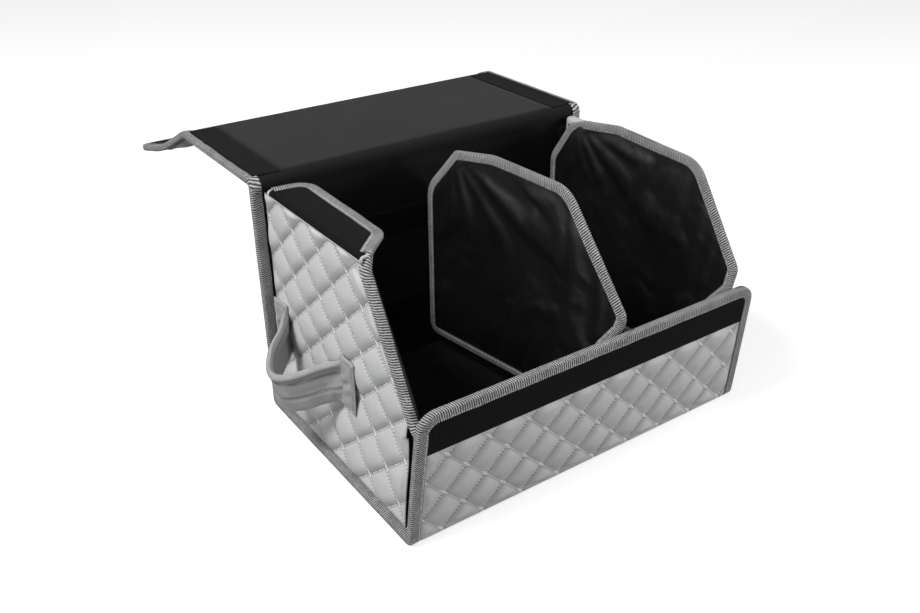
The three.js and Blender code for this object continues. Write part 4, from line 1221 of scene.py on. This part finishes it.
# Flanges, dividers and handles
class ORGANIZER_OT_flanges(bpy.types.Operator):
    """Side flanges: the left one turned in over the box, the right one tucked down inside"""

    bl_idname = "organizer.flanges"
    bl_label = "Side flanges"

    def execute(self, context):
        rim = rounded(FLANGE_SHAPE, True, 4)[:-1]

        def sheet_at(lift, x0, inset, skirt):
            def surface(u, y):
                x1 = np.maximum(edge_at(rim, y) - inset, x0 + 0.6)
                x = x0 + np.maximum(u, 0) * (x1 - x0)
                low = np.clip(-u, 0, 1) * skirt
                return np.stack([x, y, flange_height(x, y) + lift - low], -1)
            return surface

        columns = np.concatenate([[-1.0, -0.6, -0.3], stretches((0, 0.12, 0.02), (0.12, 1, 0.04))])
        panel = sheet(
            "flange_left_sheet", columns, spread(FLANGE_F - 15, FLANGE_R - EDGE, 2.0),
            sheet_at(0, FLANGE_WALL_X, EDGE, 1.6), (-0.3, 0, 1), 2.6, None, "leather",
            ["flange_left_panel", "flange_left_fold", "wall_seam_left"], pattern=lambda u, y: (u * 56, y),
        )
        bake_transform(panel)
        loop = sheet(
            "flange_left_loop_patch", spread(0, 1, 1 / 22), spread(FLANGE_F - 13, FLANGE_R - 7, 2.0),
            sheet_at(1.1, FLANGE_WALL_X - 0.3, 10.0, 0), (0, 0, 1), 0.9, None, "hook",
            ["flange_left_loop"], pattern=lambda u, y: (y, u * 44),
        )
        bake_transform(loop)

        # the right flange turns over the wall and hangs down between wall and divider
        hang_x, drop, over, front = WIDTH - INNER_X - 3.2, 251.0, 300.3, FLANGE_F + 8
        wall_x, thick = WIDTH - 17.1, 3.5
        path = rounded(
            [(wall_x, 294.2), (wall_x, over, 3.0), (hang_x - 1.6, over, 3.6), (hang_x - 1.6, drop)], True, 12,
        )
        run = path_length(path)

        def jay(s, y):
            x, z = np.interp(s, run, path[:, 0]), np.interp(s, run, path[:, 1])
            return np.stack([x, y, z - 0.4 * ripple(y, s, 83, 80)], -1)

        y0, y1, z0, z1 = FLANGE_F + 12, FLANGE_R - 6, drop + 12, 293

        def patch(y, z):
            edge = edge_fade(y - y0, y1 - y, z - z0, z1 - z, over=2.5)
            return np.stack([hang_x - thick - 0.5 - 0.8 * edge, y, z], -1)

        sheet(
            "flange_right_sheet", spread(0, run[-1], 2.5), spread(front, FLANGE_R, 4), jay,
            lambda c: c - row([470, 217, 270]), 1.6, "box", "leather", ["flange_right_panel"],
        )
        sheet(
            "flange_right_loop_patch", spread(y0, y1, 4), spread(z0, z1, 3), patch, (-1, 0, 0), 0.8,
            "box", "hook", ["flange_right_loop"],
        )
        frames = edge_frames(hang_x, spread(front, FLANGE_R, 4), drop - EDGE, (0.0, 0, 1), (1.0, 0, 0))
        binding(
            "flange_right_edge_binding", frames, "box", ["flange_right_binding"], 23, 0.15,
            channel(thick + GAP, GAP, 10), 0.9, (6, -1.7),
        )
        return {"FINISHED"}


DIVIDER_REAR = BACK_IN - 2.9
DIVIDER_FOOT = 36.5
DIVIDERS = {
    "left": [
        (DIVIDER_REAR, 34, 16), (DIVIDER_REAR, 252, 46), (270, 312, 9), (205, 323, 60),
        (84, 318, 42), (-10, 190, 16), (-4, 171, 13), (20, 138, 20), (20, 40, 14),
    ],
    "right": [
        (DIVIDER_REAR, 34, 16), (DIVIDER_REAR, 250, 30), (288, 303, 12), (262, 313, 12), (200, 322, 60),
        (66, 314, 40), (-10, 200, 16), (-5, 171, 13), (20, 138, 20), (20, 40, 14),
    ],
}


def folds(y, z, seed):
    """Satin wrinkles that run from the taut corners across the panel."""
    drift = 14 * np.sin(z / 70 + seed) + 0.12 * (z - 170) * np.sin(y / 90)
    out = np.zeros_like(y)
    for wave, share, phase in ((61, 0.9, 0.3), (37, 0.6, 1.9), (23, 0.35, 4.1)):
        out += share * np.sin((y + drift) * math.tau / wave + phase + seed)
    out = out * (0.35 + 0.65 * smooth(z, 60, 290)) * (0.7 + 0.3 * ripple(y, z, seed, 130))
    dy, dz = y - 272, z - 310
    r, t = np.hypot(dy, dz), np.arctan2(dz, dy)
    out += 0.8 * np.sin(t * 15 + seed + 0.4 * np.sin(r / 30)) * hill(r - 60, 60)
    return out + 0.25 * np.sin((y + z * 0.2) / 3.2 + 2 * np.sin(z / 40)) * smooth(z, 285, 312)


def divider(name, x_rear, turn, seed):
    """A satin panel in a bound frame, turned about its rear edge so that its front lies turn mm aside."""
    yaw = math.atan2(turn, DIVIDER_REAR + 9)
    c, s = math.cos(yaw), math.sin(yaw)
    depth = sizes().fold * 1000
    flat, sewn_in, soft = 2.45, 11.0, 7.0

    def put_dir(d):
        return np.stack([d[:, 0] * c - d[:, 1] * s, d[:, 0] * s + d[:, 1] * c, d[:, 2]], -1)

    def put(p):
        return put_dir(p - [0.0, DIVIDER_REAR, 0.0]) + [x_rear, DIVIDER_REAR, 0.0]

    outline = rounded(DIVIDERS[name], False, 4)
    loop = dense(outline, 2.0, True)
    top = outline[:, 1].max()
    zs = np.linspace(DIVIDER_FOOT, top - 1.0, 115)
    lo, hi = [], []
    for z in zs:
        crossing = []
        for a, b in zip(loop, loop[1:]):
            if (a[1] - z) * (b[1] - z) <= 0 and abs(a[1] - b[1]) > 1e-9:
                crossing.append(a[0] + (b[0] - a[0]) * (z - a[1]) / (b[1] - a[1]))
        lo.append(min(crossing) + 2)
        hi.append(max(crossing) - 2)

    def across(u, z):
        front, rear = np.interp(z, zs, lo), np.interp(z, zs, hi)
        return front + u * (rear - front)

    def inside(y, z):
        """How far a point lies inside the panel's four sides."""
        return y - across(0, z), across(1, z) - y, z - DIVIDER_FOOT, top - z

    panels = []
    for side, sign in (("a", 1), ("b", -1)):
        def surface(u, z, sign=sign):
            y = across(u, z)
            front, rear, foot, head = inside(y, z)
            fade = edge_fade(front - 8, rear - 8, foot - 7.5, head - 14, over=20)
            x = sign * (flat + fade * (0.9 + depth * folds(y, z, seed + (sign > 0) * 5)))
            return put(np.stack([x, y, z], -1))

        facing = put_dir(np.array([[sign, 0.0, 0.0]]))[0]
        anchor = row(put(np.array([[0.0, DIVIDER_REAR, 0.0]])))[0]
        columns, panel_name = spread(0, 1, 1 / 62), f"divider_{name}_satin_{side}"
        obj = cloth(panel_name, columns, zs[::2], surface, lambda u, z: (across(u, z), z), facing)
        co = read(obj.data.vertices, "co") * 1000 + [WIDTH / 2, DEPTH / 2, 0]
        dx, dy = co[:, 0] - x_rear, co[:, 1] - DIVIDER_REAR
        local = np.hypot(dx, dy) * np.sign(dy) + DIVIDER_REAR
        held = np.minimum.reduce(inside(local, co[:, 2])) < sewn_in
        settle(obj, held, anchor, facing, 2.3, soft)
        apply_modifier(obj, "SUBSURF", levels=1, render_levels=1)
        apply_modifier(obj, "SOLIDIFY", thickness=0.0006, offset=-1.0)
        panels.append(obj)
    panel, other = panels
    only(panel)
    other.select_set(True)
    bpy.ops.object.join()
    panel.name = f"divider_{name}_satin"
    dress(panel, "box", "satin", [f"divider_{name}_panel"])
    pos, a, b = outline_frames(outline, lambda y, z: (0.0, y, z), (1, 0, 0), 1, loop=True, step=3.5)
    frames = (put(pos), put_dir(a), put_dir(b))
    half_thick = 2.5 + GAP
    binding(
        f"divider_{name}_edge_binding", frames, "box", [f"divider_{name}_binding"],
        seed, None, channel(half_thick, half_thick, 10, 1.0), 0.9, (6, 0), True,
    )
    half, low, high = 3.4, 62, 228

    def hook(u, z):
        edge = edge_fade(u + half, half - u, z - low, high - z, over=1.2)
        return put(np.stack([u, DIVIDER_REAR + 0.4 + 0.5 * edge, z], -1))

    sheet(
        f"divider_{name}_hook_tape", spread(-half, half, 0.8), spread(low, high, 3), hook, (0, 1, 0), 0.5,
        "box", "hook", [f"divider_{name}_hook"], pattern=lambda u, z: (z, u),
    )


class ORGANIZER_OT_dividers(bpy.types.Operator):
    """Two removable satin dividers with webbing all round"""

    bl_idname = "organizer.dividers"
    bl_label = "Dividers"

    def execute(self, context):
        divider("left", 242.0, 42.0, 5)
        divider("right", 450.0, 10.0, 9)
        return {"FINISHED"}


HANDLE_FOOT, HANDLE_Y, HANDLE_Z, HANDLE_POINTS = 12.4, 222.5, 128.0, 130


def handle_path():
    """The strap's route seen from above, as smooth points from tab to tab."""
    foot = HANDLE_FOOT
    route = [
        (foot, -92.0), (foot, -80.0), (foot - 0.5, -68.0), (foot - 10, -55.0), (-18, -38.0), (-36, -14.0),
    ]
    knots = np.array(route + [(x, -y) for x, y in reversed(route)])
    t = np.concatenate([[0], np.cumsum(np.linalg.norm(np.diff(knots, axis=0), axis=1) ** 0.5)])
    slope = np.gradient(knots, t, axis=0)
    fine = np.linspace(0, t[-1], HANDLE_POINTS)
    i = np.clip(np.searchsorted(t, fine) - 1, 0, len(t) - 2)
    span = (t[i + 1] - t[i])[:, None]
    part = ((fine - t[i]) / span[:, 0])[:, None]
    pts = hermite(part, knots[i], slope[i] * span, knots[i + 1], slope[i + 1] * span)
    pts[:, 0] = np.minimum(pts[:, 0], foot)
    return pts


def handle(name, right):
    """A broad strap that leaves the wall, sags and comes back, with a stitched tab at each end."""
    pts = handle_path()
    tangent = np.gradient(pts, axis=0)
    tangent /= np.linalg.norm(tangent, axis=1)[:, None]
    normal = np.stack([-tangent[:, 1], tangent[:, 0]], -1)
    run = np.linspace(-1, 1, HANDLE_POINTS)
    middle = hill(run, 0.45)
    half = 28.0 - 2.0 * middle
    pos = np.stack([pts[:, 0], HANDLE_Y + pts[:, 1], HANDLE_Z - 31.0 * middle], -1)
    length = path_length(pos)
    swing = 3.0 * np.sin(run * 3.1)

    def height(u, iv):
        c = np.cos(u)
        return half[iv] * np.sign(c) * np.abs(c) ** 0.6

    def surface(u, v):
        iv = v.astype(int)
        s, z = np.sin(u), height(u, iv)
        free = smooth(0.78 - np.abs(run[iv]), 0, 0.12)
        roll = hill(z - half[iv] + 5.0, 5.0) * 3.4 * free
        d = np.sign(s) * np.abs(s) ** 0.6 * (1.3 + roll + 0.9 * middle[iv])
        for seam, depth in ((12.0, 0.9), (-2.0, 1.9), (-7.5, 1.5)):
            d = d + depth * hill(z - seam - swing[iv], 1.1) * free * np.where(s < 0, 1.0, -0.5)
        bend = hill(np.abs(run[iv]) - 0.62, 0.1)
        d = d + 1.4 * np.sin(z / 6.0 + 5 * run[iv]) * bend + 0.9 * ripple(length[iv], z, 61, 26) * free
        tilt = 7.0 * middle[iv] * (z / half[iv])
        shell = np.stack([normal[iv, 0] * d - tilt * 0.5, normal[iv, 1] * d, z], -1)
        return mirrored(pos[iv] + shell, right)

    heart = row(mirrored(pos, right))

    def away(centres):
        near = ((centres[:, None, :] - heart[None]) ** 2).sum(2).argmin(1)
        return (centres - heart[near]) * [1, 1, 0.1]

    def stitches(u, v):
        iv = v.astype(int)
        z = height(u, iv) - swing[iv]
        return length[iv], np.minimum(np.abs(z - 14.5), np.abs(height(u, iv) + 4.7 - swing[iv])) + STITCH_IN

    def close_ends():
        bpy.ops.mesh.select_all(action="DESELECT")
        bpy.ops.mesh.select_non_manifold()
        bpy.ops.mesh.edge_face_add()

    rings = np.linspace(0, math.tau, 97)
    obj = cloth(f"handle_strap_{name}", rings, np.arange(HANDLE_POINTS), surface, stitches, away, weld=True)
    edit(obj, close_ends)
    dress(obj, "box", "stitched", [f"strap_{name}"])
    for place, y0, y1, free in (("front", 125.0, 157.0, 1), ("rear", 288.0, 320.0, -1)):
        handle_tab(place, name, right, y0, y1, free)


def handle_tab(place, name, right, y0, y1, free):
    """The stitched tab over one end of a strap."""
    low, high = 95.0, 161.0

    def spot(u, v):
        y, z = y0 + u * (y1 - y0), low + v * (high - low)
        return y, z, np.minimum(y - y0, y1 - y), np.minimum(z - low, high - z)

    def tab(u, v):
        y, z, beside, above = spot(u, v)
        rim = np.minimum(beside, above)
        edge, inner = smooth(rim, 0, 3.0), smooth(rim, 5, 9)
        seam = 0.9 * hill(rim - STITCH_IN, 0.9)
        crumple = 1.3 * np.sin((z - HANDLE_Z) / 3.1 + 0.25 * (y - y0)) * hill(z - HANDLE_Z, 12) * inner
        # the edge away from the strap stands a little proud of the cover
        proud = 1.6 * smooth(free * ((y0 + y1) / 2 - y), 8, 16)
        x = 12.8 - (bulge(z) - WALL_OUT) * 0.8 - 2.4 * edge - proud + seam - 0.8 * inner - crumple
        return mirrored(np.stack([x - 0.5 * ripple(y, z, 91, 14) * edge, y, z], -1), right)

    def hem(u, v):
        y, z, beside, above = spot(u, v)
        return np.where(beside < above, z, y), np.minimum(beside, above)

    sheet(
        f"handle_tab_{place}_{name}", spread(0, 1, 1 / 44), spread(0, 1, 1 / 90), tab,
        (1, 0, 0) if right else (-1, 0, 0), LEATHER_THICK, "box", "stitched",
        [f"tab_{place}_{name}"], pattern=hem,
    )


class ORGANIZER_OT_handles(bpy.types.Operator):
    """Carry handles: padded strap loops under stitched tabs"""

    bl_idname = "organizer.handles"
    bl_label = "Handles"

    def execute(self, context):
        for name, right in SIDES:
            handle(name, right)
        return {"FINISHED"}


class ORGANIZER_OT_boards(bpy.types.Operator):
    """Finish of the hidden stiffener boards, which keep their own solids"""

    bl_idname = "organizer.boards"
    bl_label = "Stiffeners"

    def execute(self, context):
        for name in ("board_base", "board_back", "board_left", "board_right", "lid_board"):
            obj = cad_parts[name]
            obj.data.materials.clear()
            obj.data.materials.append(FINISH["fibre"])
        return {"FINISHED"}


class ORGANIZER_OT_stage(bpy.types.Operator):
    """Floor, lights and camera"""

    bl_idname = "organizer.stage"
    bl_label = "Stage"

    def execute(self, context):
        scene = bpy.context.scene
        clear()
        bpy.ops.mesh.primitive_plane_add(size=14, location=(0, 0, -0.0004))
        floor = bpy.context.object
        floor.name = "floor"
        m = Shader("floor_white")
        rays = m.node("ShaderNodeLightPath").outputs["Is Camera Ray"]
        m.put(m.bsdf.inputs["Emission Color"], (1, 1, 1))
        m.put(m.bsdf.inputs["Emission Strength"], m.times(rays, 0.62))
        white = m.mix(rays, (0.24, 0.24, 0.24), (0.75, 0.75, 0.75))
        floor.data.materials.append(m.finish(white, 0.9, None, 0.1))

        world = bpy.data.worlds.new("studio")
        scene.world = world
        world.use_nodes = True
        tree = world.node_tree
        sky = tree.nodes["Background"]
        path = tree.nodes.new("ShaderNodeLightPath")
        seen = path.outputs["Is Camera Ray"]
        for kind in ("Is Glossy Ray", "Is Transmission Ray"):
            either = tree.nodes.new("ShaderNodeMath")
            either.operation = "MAXIMUM"
            tree.links.new(seen, either.inputs[0])
            tree.links.new(path.outputs[kind], either.inputs[1])
            seen = either.outputs[0]
        level = tree.nodes.new("ShaderNodeMapRange")
        level.inputs["To Min"].default_value = 0.16
        level.inputs["To Max"].default_value = 1.0
        tree.links.new(seen, level.inputs["Value"])
        tree.links.new(level.outputs[0], sky.inputs["Strength"])
        sky.inputs["Color"].default_value = (1, 1, 1, 1)

        for name, place, target, size, power in (
            ("key_left_high", (-1.7, 0.2, 2.5), (0, 0, 0.15), 0.8, 64),
            ("left_low", (-2.6, -0.9, 0.9), (0, 0, 0.15), 0.8, 13),
            ("front_right", (1.9, -1.9, 0.9), (0, 0, 0.1), 0.7, 40),
        ):
            data = bpy.data.lights.new(name, "AREA")
            data.shape = "RECTANGLE"
            data.size = data.size_y = size
            data.energy = power
            lamp = bpy.data.objects.new(name, data)
            scene.collection.objects.link(lamp)
            lamp.location = place
            lamp.rotation_euler = (Vector(target) - Vector(place)).to_track_quat("-Z", "Y").to_euler()

        focal_pixels, picture_width, closer = 948.468, 920, 1.010
        data = bpy.data.cameras.new("photo_camera")
        camera = bpy.data.objects.new("photo_camera", data)
        scene.collection.objects.link(camera)
        data.sensor_width = 36.0
        data.lens = focal_pixels * closer / picture_width * data.sensor_width
        data.clip_start = 0.01
        right = Vector((0.818454, -0.574545, -0.005542)).normalized()
        back = Vector((0.500379, 0.717477, -0.484611)) * -1
        back = (back - right * back.dot(right)).normalized()
        rotation = Matrix((right, back.cross(right), back)).transposed()
        camera.matrix_world = Matrix.Translation((-0.641128, -0.821116, 0.715041)) @ rotation.to_4x4()
        scene.camera = camera
        scene.view_settings.view_transform = "Standard"
        return {"FINISHED"}


STEPS = (
    ORGANIZER_OT_stage, ORGANIZER_OT_cover, ORGANIZER_OT_side_walls, ORGANIZER_OT_lining,
    ORGANIZER_OT_bindings, ORGANIZER_OT_tapes, ORGANIZER_OT_lid, ORGANIZER_OT_flap, ORGANIZER_OT_folds,
    ORGANIZER_OT_flanges, ORGANIZER_OT_dividers, ORGANIZER_OT_handles, ORGANIZER_OT_boards,
)


class ORGANIZER_PT_panel(bpy.types.Panel):
    """Lists the sizes, the colours and every step"""

    bl_idname = "ORGANIZER_PT_panel"
    bl_label = "Trunk organizer"
    bl_space_type = "VIEW_3D"
    bl_region_type = "UI"
    bl_category = "Organizer"

    def draw(self, context):
        for group in (context.scene.organizer_sizes, context.scene.organizer_look):
            for key in group.__annotations__:
                self.layout.prop(group, key)
        for step in STEPS:
            self.layout.operator(step.bl_idname)


CLASSES = (OrganizerSizes, OrganizerLook, *STEPS, ORGANIZER_PT_panel)


def register():
    for cls in CLASSES:
        bpy.utils.register_class(cls)
    bpy.types.Scene.organizer_sizes = bpy.props.PointerProperty(type=OrganizerSizes)
    bpy.types.Scene.organizer_look = bpy.props.PointerProperty(type=OrganizerLook)


def unregister():
    del bpy.types.Scene.organizer_look
    del bpy.types.Scene.organizer_sizes
    for cls in reversed(CLASSES):
        bpy.utils.unregister_class(cls)


def main():
    register()
    make_materials(bpy.context.scene.organizer_look)
    bpy.ops.organizer.stage()
    bpy.ops.organizer.cover()
    bpy.ops.organizer.side_walls()
    bpy.ops.organizer.lining()
    bpy.ops.organizer.bindings()
    bpy.ops.organizer.tapes()
    bpy.ops.organizer.lid()
    bpy.ops.organizer.flap()
    bpy.ops.organizer.folds()
    bpy.ops.organizer.flanges()
    bpy.ops.organizer.dividers()
    bpy.ops.organizer.handles()
    bpy.ops.organizer.boards()


if __name__ == "__main__":
    main()
